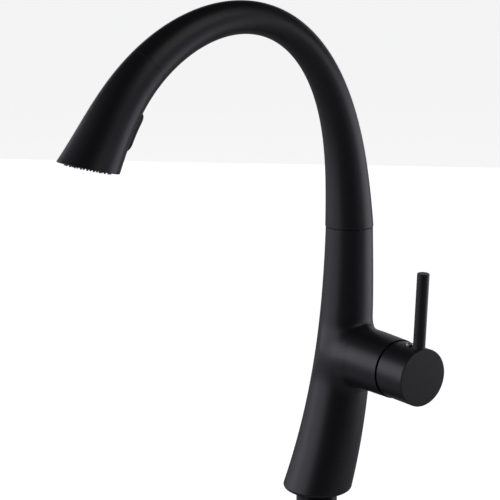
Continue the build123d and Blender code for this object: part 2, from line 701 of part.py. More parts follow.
def head_line(depth):
    """Plane across the head at a depth below the rocker, facing the spray face."""
    spot = ROCKER.from_local_coords((0, 0, -depth))
    return Plane(origin=spot, x_dir=(1, 0, 0), z_dir=ROCKER.y_dir)


def rocker_pin_hole(radius):
    pin = Plane(origin=ROCKER.from_local_coords((-20, 0, -PIN_DEPTH)), x_dir=(0, 1, 0), z_dir=(1, 0, 0))
    return tube_on(pin, 0, 40, radius, 0)


def make_rocker():
    half = ROCKER_LENGTH / 2
    outline = extrude(rocker_slot(ROCKER_LENGTH, ROCKER_WIDTH), amount=ROCKER_DEPTH + ROCKER_PROUD)
    outline = Pos(0, 0, -ROCKER_DEPTH) * outline
    top = ROCKER_PROUD
    side = Plane(origin=(-ROCKER_WIDTH, 0, 0), x_dir=(0, 1, 0), z_dir=(1, 0, 0))
    curve = Polyline((half + 1, top), (half + 1, -ROCKER_DEPTH), (-half - 1, -ROCKER_DEPTH), (-half - 1, top))
    dish = ThreePointArc((-half - 1, top), (0, top - ROCKER_DISH), (half + 1, top))
    profile = make_face(curve + dish)
    button = outline & extrude(side * profile, amount=2 * ROCKER_WIDTH)
    top_edges = button.edges().filter_by(lambda e: e.center().Z > top - ROCKER_DISH - 0.3)
    button = fillet(top_edges, 0.8)
    rib = PIN_DEPTH + 2.2 - ROCKER_DEPTH
    button += Pos(0, 0, -ROCKER_DEPTH - rib / 2 + 0.5) * Box(2 * (PIN_REACH - 2.6), 5, rib + 1)
    tail = SPOOL_DEPTH - SPOOL_NECK - 0.2 - ROCKER_DEPTH
    button += Pos(0, 0, -ROCKER_DEPTH - tail / 2) * Box(2.6, 2.2, tail)
    return ROCKER * button - rocker_pin_hole(PIN_RADIUS + RUN_FIT)


def make_rocker_pin():
    start = ROCKER.from_local_coords((-PIN_REACH, 0, -PIN_DEPTH))
    pin = Plane(origin=start, x_dir=(0, 1, 0), z_dir=(1, 0, 0))
    return tube_on(pin, 0, 2 * PIN_REACH, PIN_RADIUS, 0)


def make_diverter_spool():
    bore = head_line(SPOOL_DEPTH)
    spool = tube_on(bore, -SPOOL_HALF, SPOOL_HALF, SPOOL_RADIUS, 0)
    return spool - tube_on(bore, -1.5, 1.5, SPOOL_RADIUS + 1, SPOOL_NECK)


def face_spots():
    spots = []
    for ring, count in NOZZLE_RINGS:
        for i in range(count):
            turn = 2 * math.pi * i / count
            spots.append((ring * math.cos(turn), ring * math.sin(turn)))
    return spots


def make_spray_plate():
    radius = spout_at(1.0)[2] - RIM_WALL
    plate = Pos(0, 0, -PLATE_RECESS - PLATE_THICK) * extrude(Circle(radius), amount=PLATE_THICK)
    cutters = Sketch() + [Pos(x, y) * Circle(NOZZLE_RADIUS + 0.15) for x, y in face_spots()]
    cutters += Circle(AERATOR_RADIUS + 0.1)
    plate -= Pos(0, 0, -PLATE_RECESS - PLATE_THICK - 1) * extrude(cutters, amount=PLATE_THICK + 2)
    return OUTLET * plate


def make_nozzle_mat():
    """Soft mat behind the plate; its nozzles stand through the plate's holes."""
    back = -PLATE_RECESS - PLATE_THICK
    mat = Pos(0, 0, back - 1.4) * extrude(
        Circle(NOZZLE_RINGS[0][0] + 1.8) - Circle(AERATOR_RADIUS + 0.3), amount=1.4
    )
    pins = Sketch() + [Pos(x, y) * Circle(NOZZLE_RADIUS) for x, y in face_spots()]
    mat += Pos(0, 0, back - 0.5) * extrude(pins, amount=0.5 - back + NOZZLE_PROUD)
    return OUTLET * mat


def make_aerator():
    back = -PLATE_RECESS - PLATE_THICK
    body = Pos(0, 0, back - 4) * extrude(Circle(AERATOR_RADIUS), amount=4 - back - 0.4)
    bowl = Pos(0, 0, -2.4) * extrude(Circle(AERATOR_RADIUS - 1.4), amount=4)
    body -= bowl
    for offset in (-4.2, -1.4, 1.4, 4.2):
        body += Pos(offset, 0, -2.1) * Box(0.7, 2 * math.sqrt((AERATOR_RADIUS - 1.2) ** 2 - offset**2), 0.8)
        body += Pos(0, offset, -2.1) * Box(2 * math.sqrt((AERATOR_RADIUS - 1.2) ** 2 - offset**2), 0.7, 0.8)
    return OUTLET * body


def face_ring_radius():
    return spout_at(1.0)[2] - RIM_WALL - 1.0


def make_face_ring():
    back = -PLATE_RECESS - PLATE_THICK
    return tube_on(OUTLET, back - RING_THICK, back, face_ring_radius(), NOZZLE_RINGS[0][0] + 2.0)


# ---- writing ------------------------------------------------------------------------------
def make_all():
    path = hose_path()
    pieces = {
        "body_shell": make_body_shell(),
        "base_gasket": make_base_gasket(),
        "mounting_shank": make_shank(),
        "rubber_washer": make_rubber_washer(),
        "steel_washer": make_steel_washer(),
        "mounting_nut": make_mounting_nut(),
        "valve_body": make_valve_body(),
        "cartridge_base": make_cartridge_base(),
        "fixed_ceramic_disc": make_fixed_disc(),
        "moving_ceramic_disc": make_moving_disc(),
        "cartridge_housing": make_cartridge_housing(),
        "turning_sleeve": make_turning_sleeve(),
        "pivot_pin": make_pivot_pin(),
        "cartridge_nut": make_cartridge_nut(),
        "dome_cap": make_dome_cap(),
        "handle_hub": make_handle_hub(),
        "lever_rod": make_lever_rod(),
        "lever_stem": make_stem(),
        "set_screw": make_set_screw(),
        "hub_plug": make_hub_plug(),
        "swivel_sleeve": make_swivel_sleeve(),
        "swivel_bushes": make_swivel_bushes(),
        "swivel_seal": make_swivel_seal(),
        "snap_ring": make_snap_ring(),
        "spout_tube": make_spout_tube(),
        "docking_collar": make_docking_collar(),
        "dock_magnet": make_dock_magnet(),
        "pull_hose": make_pull_hose(path),
        "hose_end_fitting": make_hose_end_fitting(),
        "hose_ferrule": make_hose_ferrule(),
        "hose_stem": make_hose_stem(),
        "hose_nut": make_hose_nut(),
        "head_shell": make_head_shell(),
        "docking_spigot": make_docking_spigot(),
        "spigot_magnet": make_spigot_magnet(),
        "inlet_barrel": make_inlet_barrel(),
        "inlet_filter": make_inlet_filter(),
        "check_valve": make_check_valve(),
        "head_core": make_head_core(),
        "rocker_button": make_rocker(),
        "rocker_pin": make_rocker_pin(),
        "diverter_spool": make_diverter_spool(),
        "spray_plate": make_spray_plate(),
        "nozzle_mat": make_nozzle_mat(),
        "aerator_insert": make_aerator(),
        "face_ring": make_face_ring(),
    }
    for name, spot in NIPPLE_SPOTS.items():
        pieces[name] = make_nipple(spot)
    return pieces


os.makedirs("parts", exist_ok=True)
for node, shape in make_all().items():
    export_step(shape, f"parts/{node}.step")
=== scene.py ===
# %% [markdown]
# # A pull-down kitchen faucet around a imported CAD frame
# The CAD model fixes every size, joint and position. This notebook gives the same faucet its finished
# surfaces: smooth worked-out skins for the visible castings, a woven hose, and procedural finishes.

# %% Load the frame
import json
import math
import bmesh
import bpy
import numpy as np
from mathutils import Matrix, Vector


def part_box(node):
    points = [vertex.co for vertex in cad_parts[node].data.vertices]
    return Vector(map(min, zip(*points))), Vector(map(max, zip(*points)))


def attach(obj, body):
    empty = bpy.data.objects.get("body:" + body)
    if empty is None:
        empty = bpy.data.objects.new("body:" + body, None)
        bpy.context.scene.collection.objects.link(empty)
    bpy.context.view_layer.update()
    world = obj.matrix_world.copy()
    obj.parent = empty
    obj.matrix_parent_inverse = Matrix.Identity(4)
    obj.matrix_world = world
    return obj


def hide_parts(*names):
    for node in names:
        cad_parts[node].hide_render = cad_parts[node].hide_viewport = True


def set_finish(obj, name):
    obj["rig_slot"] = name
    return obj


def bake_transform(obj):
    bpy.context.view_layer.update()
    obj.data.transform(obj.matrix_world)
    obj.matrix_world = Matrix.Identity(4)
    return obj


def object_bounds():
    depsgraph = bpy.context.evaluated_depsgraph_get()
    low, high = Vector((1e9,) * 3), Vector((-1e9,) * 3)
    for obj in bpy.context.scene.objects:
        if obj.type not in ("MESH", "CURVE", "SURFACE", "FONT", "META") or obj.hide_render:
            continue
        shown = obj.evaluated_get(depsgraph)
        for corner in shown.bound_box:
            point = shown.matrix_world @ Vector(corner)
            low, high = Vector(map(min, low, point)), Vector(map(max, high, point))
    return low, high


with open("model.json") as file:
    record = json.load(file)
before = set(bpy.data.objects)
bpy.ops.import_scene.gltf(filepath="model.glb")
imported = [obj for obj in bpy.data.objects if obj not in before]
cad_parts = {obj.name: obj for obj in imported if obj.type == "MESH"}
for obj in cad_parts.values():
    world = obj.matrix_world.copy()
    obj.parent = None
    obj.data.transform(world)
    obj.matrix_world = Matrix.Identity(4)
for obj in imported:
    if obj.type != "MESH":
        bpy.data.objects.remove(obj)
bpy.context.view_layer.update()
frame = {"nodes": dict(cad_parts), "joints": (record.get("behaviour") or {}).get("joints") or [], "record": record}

nodes = frame["nodes"]
joints = {joint["name"]: joint for joint in frame["joints"]}
MM = 0.001

# %% [markdown]
# ## Helpers for worked-out surfaces
# A skin is a grid of points: rows run along a piece, columns run round it. The grid is computed as one
# array and then handed to a mesh, so there is no loop over points. Poles are merged afterwards.


# %% Grid helpers
def grid_faces(rows, cols, wrap_rows=False, wrap_cols=True):
    """Quads between neighbouring rows and columns; wrap joins the last back to the first."""
    last_row = rows if wrap_rows else rows - 1
    last_col = cols if wrap_cols else cols - 1
    i, j = np.meshgrid(np.arange(last_row), np.arange(last_col), indexing="ij")
    below = i * cols + j
    below_next = i * cols + (j + 1) % cols
    above = (i + 1) % rows * cols + j
    above_next = (i + 1) % rows * cols + (j + 1) % cols
    return np.stack([below, below_next, above_next, above], -1).reshape(-1, 4)


def mesh_object(name, points, faces, sharp=35.0):
    """Object at the origin from points and faces; merged, facing outwards and smooth-shaded."""
    mesh = bpy.data.meshes.new(name)
    mesh.from_pydata(np.asarray(points).reshape(-1, 3).tolist(), [], np.asarray(faces).tolist())
    return finish_mesh(name, mesh, sharp)


def finish_mesh(name, mesh, sharp=35.0):
    bm = bmesh.new()
    bm.from_mesh(mesh)
    bmesh.ops.remove_doubles(bm, verts=bm.verts, dist=1e-6)
    bmesh.ops.dissolve_degenerate(bm, dist=1e-7, edges=bm.edges)
    bmesh.ops.recalc_face_normals(bm, faces=bm.faces)
    bm.to_mesh(mesh)
    bm.free()
    mesh.polygons.foreach_set("use_smooth", np.ones(len(mesh.polygons), bool))
    mesh.set_sharp_from_angle(angle=math.radians(sharp))
    piece = bpy.data.objects.new(name, mesh)
    bpy.context.scene.collection.objects.link(piece)
    print(name, len(mesh.polygons), "faces")
    return piece


def rounded(corners, radius, steps=6):
    """Closed outline with each corner replaced by a short arc.
    An arc's points are a quadratic blend of the two tangent points and the corner; one extra point
    on each side keeps the flats flat."""
    corners = np.asarray(corners, float)
    radii = np.broadcast_to(radius, len(corners))
    outline = []
    t = np.linspace(0, 1, steps + 1)[:, None]
    for before, corner, after, r in zip(np.roll(corners, 1, 0), corners, np.roll(corners, -1, 0), radii):
        if r == 0:
            outline.append(corner[None])
            continue
        into = (before - corner) / np.linalg.norm(before - corner)
        out = (after - corner) / np.linalg.norm(after - corner)
        start, end = corner + into * r, corner + out * r
        arc = (1 - t) ** 2 * start + 2 * t * (1 - t) * corner + t**2 * end
        outline += [start[None] + into * r * 0.3, arc, end[None] + out * r * 0.3]
    return np.concatenate(outline)


def basis(axis, side=(1.0, 0.0, 0.0)):
    """Unit axis and two unit directions square to it, the first as near side as it can be."""
    axis = np.asarray(axis, float)
    axis = axis / np.linalg.norm(axis)
    first = np.asarray(side, float) - axis * np.dot(axis, side)
    first /= np.linalg.norm(first)
    return axis, first, np.cross(axis, first)


def spin(name, outline, origin, axis, side=(1.0, 0.0, 0.0), count=96, sharp=35.0):
    """Closed outline of (distance along axis, radius) turned round an axis.
    Point = origin + along * axis + radius * (cos * first + sin * second)."""
    axis, first, second = basis(axis, side)
    turn = np.linspace(0, 2 * np.pi, count, endpoint=False)
    round_way = np.cos(turn)[:, None] * first + np.sin(turn)[:, None] * second
    outline = np.asarray(outline)
    points = np.asarray(origin) + outline[:, 0, None, None] * axis + outline[:, 1, None, None] * round_way
    return mesh_object(name, points, grid_faces(len(outline), count, wrap_rows=True), sharp)


# %% [markdown]
# ## The two leading curves
# The body is a stack of level circles whose centres lean back and whose radii taper, both by a power of
# the height that is left. The spout and the spray head are one round tube on a Bezier curve whose third
# coordinate is the tube's radius.

# %% Body and spout formulas
body_low, body_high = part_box("body_shell")
BASE_RADIUS = -body_low.x
BODY_HEIGHT = body_high.z
BODY_TOP_RADIUS = 18.7 * MM
BODY_SHIFT = joints["spout_swivel"]["pos_m"][1]
LEAN_POWER = 2.62
TAPER_POWER = 1.2


def body_centre(z):
    """y of the body's centre: shift * (1 - (1 - z / height) ^ lean power)."""
    return BODY_SHIFT * (1 - np.clip(1 - z / BODY_HEIGHT, 0, None) ** LEAN_POWER)


def body_radius(z):
    """Top radius plus the taper * (1 - z / height) ^ taper power."""
    return BODY_TOP_RADIUS + (BASE_RADIUS - BODY_TOP_RADIUS) * np.clip(1 - z / BODY_HEIGHT, 0, None) ** TAPER_POWER


SPOUT_REACH = 237.6 * MM
SPOUT_RISE = 169.0 * MM
OUTLET_RISE = 71.8 * MM
SPOUT_CONTROLS = np.array([
    (0.000, 0.000, 19.1),
    (0.016, 0.414, 15.8),
    (0.046, 0.609, 12.2),
    (0.127, 1.593, 4.6),
    (0.847, 0.918, 19.2),
    (0.827, 0.808, 10.5),
    (1.000, OUTLET_RISE / SPOUT_RISE, 22.4),
])
HEAD_SPLIT = 0.785
FACE_OBLIQUE = math.radians(18.0)


def spout_at(t):
    """Centre line's y and z and the tube's radius: the Bernstein-weighted mean of the control points."""
    t = np.atleast_1d(np.asarray(t, float))
    order = len(SPOUT_CONTROLS) - 1
    i = np.arange(order + 1)
    choose = np.array([math.comb(order, k) for k in i])
    weight = choose * t[:, None] ** i * (1 - t[:, None]) ** (order - i)
    y, z, radius = (weight @ SPOUT_CONTROLS).T
    return BODY_SHIFT - SPOUT_REACH * y, BODY_HEIGHT + SPOUT_RISE * z, radius * MM


def spout_normal(t):
    """Section normals (y, z): the curve's direction, level at t = 0, turned to the spray face at t = 1."""
    t = np.atleast_1d(np.asarray(t, float))
    y0, z0, _ = spout_at(np.clip(t - 0.001, 0, 1))
    y1, z1, _ = spout_at(np.clip(t + 0.001, 0, 1))
    dy, dz = (y1 - y0), (z1 - z0)
    length = np.hypot(dy, dz)
    dy, dz = dy / length, dz / length
    level = np.exp(-t / 0.02)
    dy, dz = dy * (1 - level), dz * (1 - level) + level
    length = np.hypot(dy, dz)
    turn = FACE_OBLIQUE * np.clip((t - HEAD_SPLIT) / (1 - HEAD_SPLIT), 0, None) ** 1.5
    dy, dz = dy / length, dz / length
    return dy * np.cos(turn) - dz * np.sin(turn), dy * np.sin(turn) + dz * np.cos(turn)


def tube_rows(t, offset, count):
    """Rows of points round the spout at each t: centre + (radius + offset) * (cos * X + sin * across)."""
    y, z, radius = spout_at(t)
    ny, nz = spout_normal(t)
    turn = np.linspace(0, 2 * np.pi, count, endpoint=False)
    reach = (radius + offset)[:, None]
    x = reach * np.cos(turn)
    return np.stack([x, y[:, None] - reach * np.sin(turn) * nz[:, None],
                     z[:, None] + reach * np.sin(turn) * ny[:, None]], -1)


print("spout top", round(float(spout_at(np.linspace(0, 1, 200))[1].max()), 4))

# %% [markdown]
# ## Spout tube
# The real spout is a bent and swaged brass tube. Its outer skin, the rounded rims and the inner wall are
# one grid: the rows go up the outside, over the rim, and back down the inside.

# %% Spout tube
SPOUT_WALL = 1.6 * MM
SEAM_GAP = 0.5 * MM
SEAM_ROUND = 0.35 * MM
DOCK_ROUND = 0.12 * MM


def wall_rows(t_outer, wall, rims, count):
    """Outer rows, an eased rim at each end, then the inner rows back to the start.
    Two close rows behind each rim keep its shading from spreading along the tube."""
    ease = np.array([0.0, 0.3, 0.7, 1.0, 1.6, 2.6])
    step = np.array([1.0, 0.45, 0.12, 0.0, 0.0, 0.0])
    speed = SPOUT_REACH * 1.9
    share_start, share_end = (rim / speed for rim in rims)
    start = t_outer[0] + share_start * ease
    end = t_outer[-1] - share_end * ease[::-1]
    middle = t_outer[(t_outer > start[-1] + share_start) & (t_outer < end[0] - share_end)]
    outer_t = np.concatenate([start, middle, end])
    outer_offset = np.concatenate([-rims[0] * step, np.zeros(len(middle)), -rims[1] * step[::-1]])
    inner_t = t_outer[::-1]
    t = np.concatenate([outer_t, inner_t])
    offset = np.concatenate([outer_offset, np.full(len(inner_t), -wall)])
    print("wall rows", len(t))
    return tube_rows(t, offset, count)


SPOUT_START = SEAM_GAP / (SPOUT_RISE * 0.414 * 6)
spout_t = np.linspace(SPOUT_START, HEAD_SPLIT, 160)
rows = wall_rows(spout_t, SPOUT_WALL, (SEAM_ROUND, DOCK_ROUND), 96)
spout = mesh_object("spout_skin", rows, grid_faces(rows.shape[0], rows.shape[1], wrap_rows=True))
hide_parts("spout_tube")
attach(spout, "spout")
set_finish(spout, "black_coat")

# %% [markdown]
# ## Spray head shell
# The head continues the same tube and flares to the spray face. Its wall is a little thicker.

# %% Head shell
HEAD_WALL = 1.8 * MM
HEAD_GAP = 0.05 * MM
FACE_ROUND = 0.5 * MM
head_t = np.linspace(HEAD_SPLIT + HEAD_GAP / (SPOUT_REACH * 1.9), 1.0, 90)
rows = wall_rows(head_t, HEAD_WALL, (DOCK_ROUND, FACE_ROUND), 112)
head = mesh_object("head_skin", rows, grid_faces(rows.shape[0], rows.shape[1], wrap_rows=True))
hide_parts("head_shell")
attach(head, "spray_head")
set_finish(head, "black_coat")

# %% [markdown]
# ## Body casting
# The body and its side boss are one casting with a soft blend where they meet. The boss is as wide as the
# body, so no single grid fits both: two closed tubes are joined, remeshed evenly, and every point is then
# moved onto the smooth union of the two formulas. The ends are cut flat and given rims.

# %% Body casting
lift = joints["flow_lift"]
PIVOT = np.array(lift["pos_m"])
BOSS_Y, BOSS_Z = PIVOT[1], PIVOT[2]
BOSS_REACH = body_high.x
BOSS_RADIUS = 23.3 * MM
BOSS_ROOT_RADIUS = 24.0 * MM
BOSS_INNER_RADIUS = 17.0 * MM
BOSS_BACK = 6.0 * MM
BOSS_GROW_FROM, BOSS_GROW_RUN = 4.0 * MM, 24.0 * MM
BOSS_EASE_FROM = 40.0 * MM
BLEND_LOW, BLEND_MORE, BLEND_SPAN = 7.0 * MM, 12.0 * MM, 24.0 * MM


def boss_radius(x):
    """Grows from inside the body to the root radius, then eases down to the rim."""
    grow = np.clip((x - BOSS_GROW_FROM) / BOSS_GROW_RUN, 0, 1)
    grow = grow * grow * (3 - 2 * grow)
    ease = np.clip((x - BOSS_EASE_FROM) / (BOSS_REACH - BOSS_EASE_FROM), 0, 1)
    root = BOSS_ROOT_RADIUS - (BOSS_ROOT_RADIUS - BOSS_RADIUS) * ease
    return BOSS_INNER_RADIUS + (root - BOSS_INNER_RADIUS) * grow


def casting_distance(p):
    """Smooth union of the body's and the boss's distances, with a quadratic blend.

    The blend is tight above and below the boss and wide at its front and back:
    blend = low + more * min(|y - boss_y| / span, 1)^2.
    """
    x, y, z = p.T
    body = np.hypot(x, y - body_centre(z)) - body_radius(z)
    boss = np.hypot(y - BOSS_Y, z - BOSS_Z) - boss_radius(x)
    boss = np.maximum(boss, BOSS_BACK - x)
    blend = BLEND_LOW + BLEND_MORE * np.clip(np.abs(y - BOSS_Y) / BLEND_SPAN, 0, 1) ** 2
    mix = np.clip(0.5 + 0.5 * (boss - body) / blend, 0, 1)
    return boss * (1 - mix) + body * mix - blend * mix * (1 - mix)


def settle(points, distance, rounds=8):
    """Newton steps onto the surface distance = 0, along the numerical gradient."""
    step = 0.02 * MM
    for _ in range(rounds):
        slope = np.stack([
            (distance(points + step * side) - distance(points - step * side)) / (2 * step)
            for side in np.eye(3)
        ], -1)
        size = (slope**2).sum(1, keepdims=True)
        points = points - distance(points)[:, None] * slope / np.maximum(size, 0.05)
    return points


SPARE = 8.0 * MM
BOSS_SPARE = 7.0 * MM
VOXEL = 1.25 * MM
turn = np.linspace(0, 2 * np.pi, 72, endpoint=False)
height = np.linspace(-SPARE, BODY_HEIGHT + SPARE, 80)
ring = body_radius(height)[:, None]
tube = np.stack([ring * np.cos(turn), body_centre(height)[:, None] + ring * np.sin(turn),
                 height[:, None] + 0 * turn], -1)
reach = np.linspace(SPARE, BOSS_REACH + BOSS_SPARE, 30)
ring = boss_radius(reach)[:, None]
arm = np.stack([reach[:, None] + 0 * turn, BOSS_Y + ring * np.cos(turn), BOSS_Z + ring * np.sin(turn)], -1)
blank = bpy.data.meshes.new("casting")
bm = bmesh.new()
for block in (tube, arm):
    corners = [bm.verts.new(p) for p in block.reshape(-1, 3)]
    for quad in grid_faces(*block.shape[:2]):
        bm.faces.new([corners[k] for k in quad])
    count = block.shape[1]
    bm.faces.new(corners[:count])
    bm.faces.new(corners[-count:])
bmesh.ops.recalc_face_normals(bm, faces=bm.faces)
bm.to_mesh(blank)
bm.free()
blank_object = bpy.data.objects.new("casting_blank", blank)
bpy.context.scene.collection.objects.link(blank_object)
remesh = blank_object.modifiers.new("even", "REMESH")
remesh.mode = "VOXEL"
remesh.voxel_size = VOXEL
evaluated = blank_object.evaluated_get(bpy.context.evaluated_depsgraph_get())
casting = bpy.data.meshes.new_from_object(evaluated)
bpy.data.objects.remove(blank_object)
points = np.zeros(len(casting.vertices) * 3)
casting.vertices.foreach_get("co", points)
points = settle(points.reshape(-1, 3), casting_distance)
casting.vertices.foreach_set("co", points.ravel())
print("casting", len(casting.vertices), "points, off by at most",
      round(float(np.abs(casting_distance(points)).max()) / MM, 4), "mm")

# %% Body rims
BODY_EDGE = 2.5 * MM
TOP_LEDGE, TOP_DEPTH = 3.0 * MM, 6.0 * MM
FOOT_BORE, FOOT_DEPTH = 16.6 * MM, 3.0 * MM
SOCKET_LIP, SOCKET_RADIUS, SOCKET_GAP = 0.9 * MM, 22.5 * MM, 0.5 * MM
SOCKET_DEPTH = 7.6 * MM
SOCKET_SPHERE = math.hypot(BOSS_REACH + SOCKET_LIP - PIVOT[0], SOCKET_RADIUS) + SOCKET_GAP
bm = bmesh.new()
bm.from_mesh(casting)


def cut(bm, spot, normal):
    """Removes what lies beyond a plane and returns the edges of the cut."""
    whole = bm.verts[:] + bm.edges[:] + bm.faces[:]
    bmesh.ops.bisect_plane(bm, geom=whole, dist=1e-7, plane_co=spot, plane_no=normal, clear_outer=True)
    spot, normal = Vector(spot), Vector(normal)
    return [e for e in bm.edges
            if e.is_boundary and all(abs((v.co - spot).dot(normal)) < 1e-6 for v in e.verts)]


def rim(bm, edges, centre, axis, steps):
    """Extrudes a cut edge through (distance along axis, change of radius or fixed radius) steps."""
    axis = Vector(axis)
    centre = Vector(centre)
    start = None
    for along, change, fixed in steps:
        made = bmesh.ops.extrude_edge_only(bm, edges=edges)["geom"]
        verts = [g for g in made if isinstance(g, bmesh.types.BMVert)]
        edges = [g for g in made if isinstance(g, bmesh.types.BMEdge) and g.is_boundary]
        if start is None:
            start = {v: (v.co - centre - axis * (v.co - centre).dot(axis)).length for v in verts}
        for v in verts:
            flat = v.co - centre
            flat -= axis * flat.dot(axis)
            size = fixed if fixed else flat.length + change
            v.co = centre + axis * along + flat.normalized() * size
    bmesh.ops.edgeloop_fill(bm, edges=edges)


quarter = np.linspace(0, np.pi / 2, 7)
round_in = np.diff(BODY_EDGE * (1 - np.cos(quarter)))
top_edges = cut(bm, (0, 0, BODY_HEIGHT), (0, 0, 1))
rim(bm, top_edges, (0, BODY_SHIFT, BODY_HEIGHT), (0, 0, -1), [
    (0.0, 0.0, None), (0.0, -TOP_LEDGE, None), (TOP_DEPTH, 0, None),
])
foot_centre = (0, float(body_centre(np.array([BODY_EDGE]))[0]), BODY_EDGE)
foot_edges = cut(bm, (0, 0, BODY_EDGE), (0, 0, -1))
steps = [(BODY_EDGE * math.sin(a), -d, None) for a, d in zip(quarter[1:], round_in)]
rim(bm, foot_edges, foot_centre, (0, 0, -1), steps + [(BODY_EDGE, 0, FOOT_BORE), (-FOOT_DEPTH, 0, FOOT_BORE)])
boss_edges = cut(bm, (BOSS_REACH, 0, 0), (1, 0, 0))
mouth = BOSS_REACH - PIVOT[0]
deep = np.linspace(mouth, mouth - SOCKET_DEPTH, 10)
socket = [(float(mouth - d), 0, math.sqrt(SOCKET_SPHERE**2 - d * d)) for d in deep]
rim(bm, boss_edges, (BOSS_REACH, BOSS_Y, BOSS_Z), (-1, 0, 0), socket)
bm.to_mesh(casting)
bm.free()
body = finish_mesh("body_skin", casting, 40.0)
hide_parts("body_shell")
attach(body, "root")
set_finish(body, "black_coat")

# %% [markdown]
# ## Hub, lever and plug
# The hub is turned from bar: one outline spun round the boss's axis, with eased edges so that they catch
# a line of light. The pin lever stands on it, and its foot follows the hub's round side exactly.

# %% Handle hub
hub_low, hub_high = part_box("handle_hub")
HUB_REAR, HUB_FACE = hub_low.x, hub_high.x
HUB_RADIUS = 22.5 * MM
HUB_WALL = 2.0 * MM
HUB_END = 9.5 * MM
BOSS_AXIS = np.array([0.0, BOSS_Y, BOSS_Z])
rings = [(HUB_FACE, HUB_RADIUS * share) for share in (0.95, 0.8, 0.6, 0.4, 0.2, 0.05, 0)]
hub_outline = rounded([
    (HUB_REAR, HUB_RADIUS), (HUB_REAR + 1.5 * MM, HUB_RADIUS), (HUB_FACE - 1.5 * MM, HUB_RADIUS),
    (HUB_FACE, HUB_RADIUS), *rings, (HUB_FACE - HUB_END, 0),
    (HUB_FACE - HUB_END, HUB_RADIUS - HUB_WALL), (HUB_REAR, HUB_RADIUS - HUB_WALL),
], np.array([0.7, 0, 0, 0.65, 0, 0, 0, 0, 0, 0, 0, 0, 1.0, 0.3]) * MM)
hub = spin("hub_skin", hub_outline, BOSS_AXIS, (1, 0, 0), side=(0, 1, 0), count=160)
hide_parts("handle_hub")
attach(hub, "lever")
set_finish(hub, "black_coat")

# %% Lever rod
LEVER_RADIUS = 4.7 * MM
LEVER_TILT = math.radians(2.6)
LEVER_INSET = 5.0 * MM
LEVER_EDGE = 0.55 * MM
lever_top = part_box("lever_rod")[1].z


def lever_rows(count=64):
    """Rows along the lever; the foot's height solves (radius * sin)^2 + height^2 = hub radius^2."""
    turn = np.linspace(0, 2 * np.pi, count, endpoint=False)
    axis = np.array([math.sin(LEVER_TILT), 0, math.cos(LEVER_TILT)])
    side = np.array([math.cos(LEVER_TILT), 0, -math.sin(LEVER_TILT)])
    origin = np.array([HUB_FACE - LEVER_INSET - HUB_RADIUS * math.tan(LEVER_TILT), BOSS_Y, BOSS_Z])
    tip = (lever_top - BOSS_Z) / math.cos(LEVER_TILT)
    foot = np.sqrt(HUB_RADIUS**2 - (LEVER_RADIUS * np.sin(turn)) ** 2)
    foot = (foot + LEVER_RADIUS * np.cos(turn) * math.sin(LEVER_TILT)) / math.cos(LEVER_TILT)
    start = foot - 0.3 * MM
    share = np.linspace(0, 1, 24)[:, None]
    shaft = start + (tip - LEVER_EDGE * 1.5 - start) * share
    ease = np.linspace(0, np.pi / 2, 6)[:, None]
    round_up = tip - LEVER_EDGE * (1 - np.sin(ease)) + 0 * turn
    along = np.concatenate([start[None] - 1 * MM, shaft, round_up, np.full((2, count), tip)])
    radius = np.concatenate([
        [0], np.full(24, LEVER_RADIUS), (LEVER_RADIUS - LEVER_EDGE * (1 - np.cos(ease)))[:, 0],
        [LEVER_RADIUS - 2 * LEVER_EDGE, 0],
    ])
    around = np.cos(turn)[:, None] * side + np.sin(turn)[:, None] * np.array([0, 1.0, 0])
    return origin + along[..., None] * axis + radius[:, None, None] * around


rows = lever_rows()
rows[0] = rows[0].mean(0)
lever = mesh_object("lever_skin", rows, grid_faces(rows.shape[0], rows.shape[1]))
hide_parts("lever_rod")
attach(lever, "lever")
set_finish(lever, "black_coat")

# %% Hub plug
PLUG_RADIUS, PLUG_HEIGHT = 3.0 * MM, 3.0 * MM
PLUG_RIM, PLUG_DISH, PLUG_SLOPE = 0.85 * MM, 0.9 * MM, 0.15 * MM
INLAY_RADIUS, INLAY_PROUD, INLAY_SUNK = 1.9 * MM, 0.1 * MM, 0.2 * MM
plug_low, plug_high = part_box("hub_plug")
plug_spot = ((plug_low.x + plug_high.x) / 2, BOSS_Y, 0)
plug_top = plug_high.z
plug_floor = plug_top - PLUG_DISH
plug_bore = PLUG_RADIUS - PLUG_RIM
plug_outline = rounded([
    (plug_top - PLUG_HEIGHT, 0), (plug_top - PLUG_HEIGHT, PLUG_RADIUS), (plug_top, PLUG_RADIUS),
    (plug_top, plug_bore), (plug_floor, plug_bore - PLUG_SLOPE), (plug_floor, 0),
], np.array([0, 0.2, 0.35, 0.2, 0.15, 0]) * MM)
plug = spin("plug_skin", plug_outline, plug_spot, (0, 0, 1), count=48)
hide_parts("hub_plug")
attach(plug, "lever")
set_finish(plug, "steel")

inlay_low, inlay_high = plug_floor - INLAY_SUNK, plug_floor + INLAY_PROUD
inlay_outline = [(inlay_low, 0), (inlay_low, INLAY_RADIUS), (inlay_high, INLAY_RADIUS), (inlay_high, 0)]
inlay = spin("plug_inlay", inlay_outline, plug_spot, (0, 0, 1), count=48)
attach(inlay, "lever")
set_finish(inlay, "black_plastic")

# %% [markdown]
# ## Rocker button
# The spray selector is a moulded rocker: a long rounded button whose face dips in the middle, so that a
# thumb finds it. Its rings shrink inwards from the outline, over an eased edge, to the dished face.

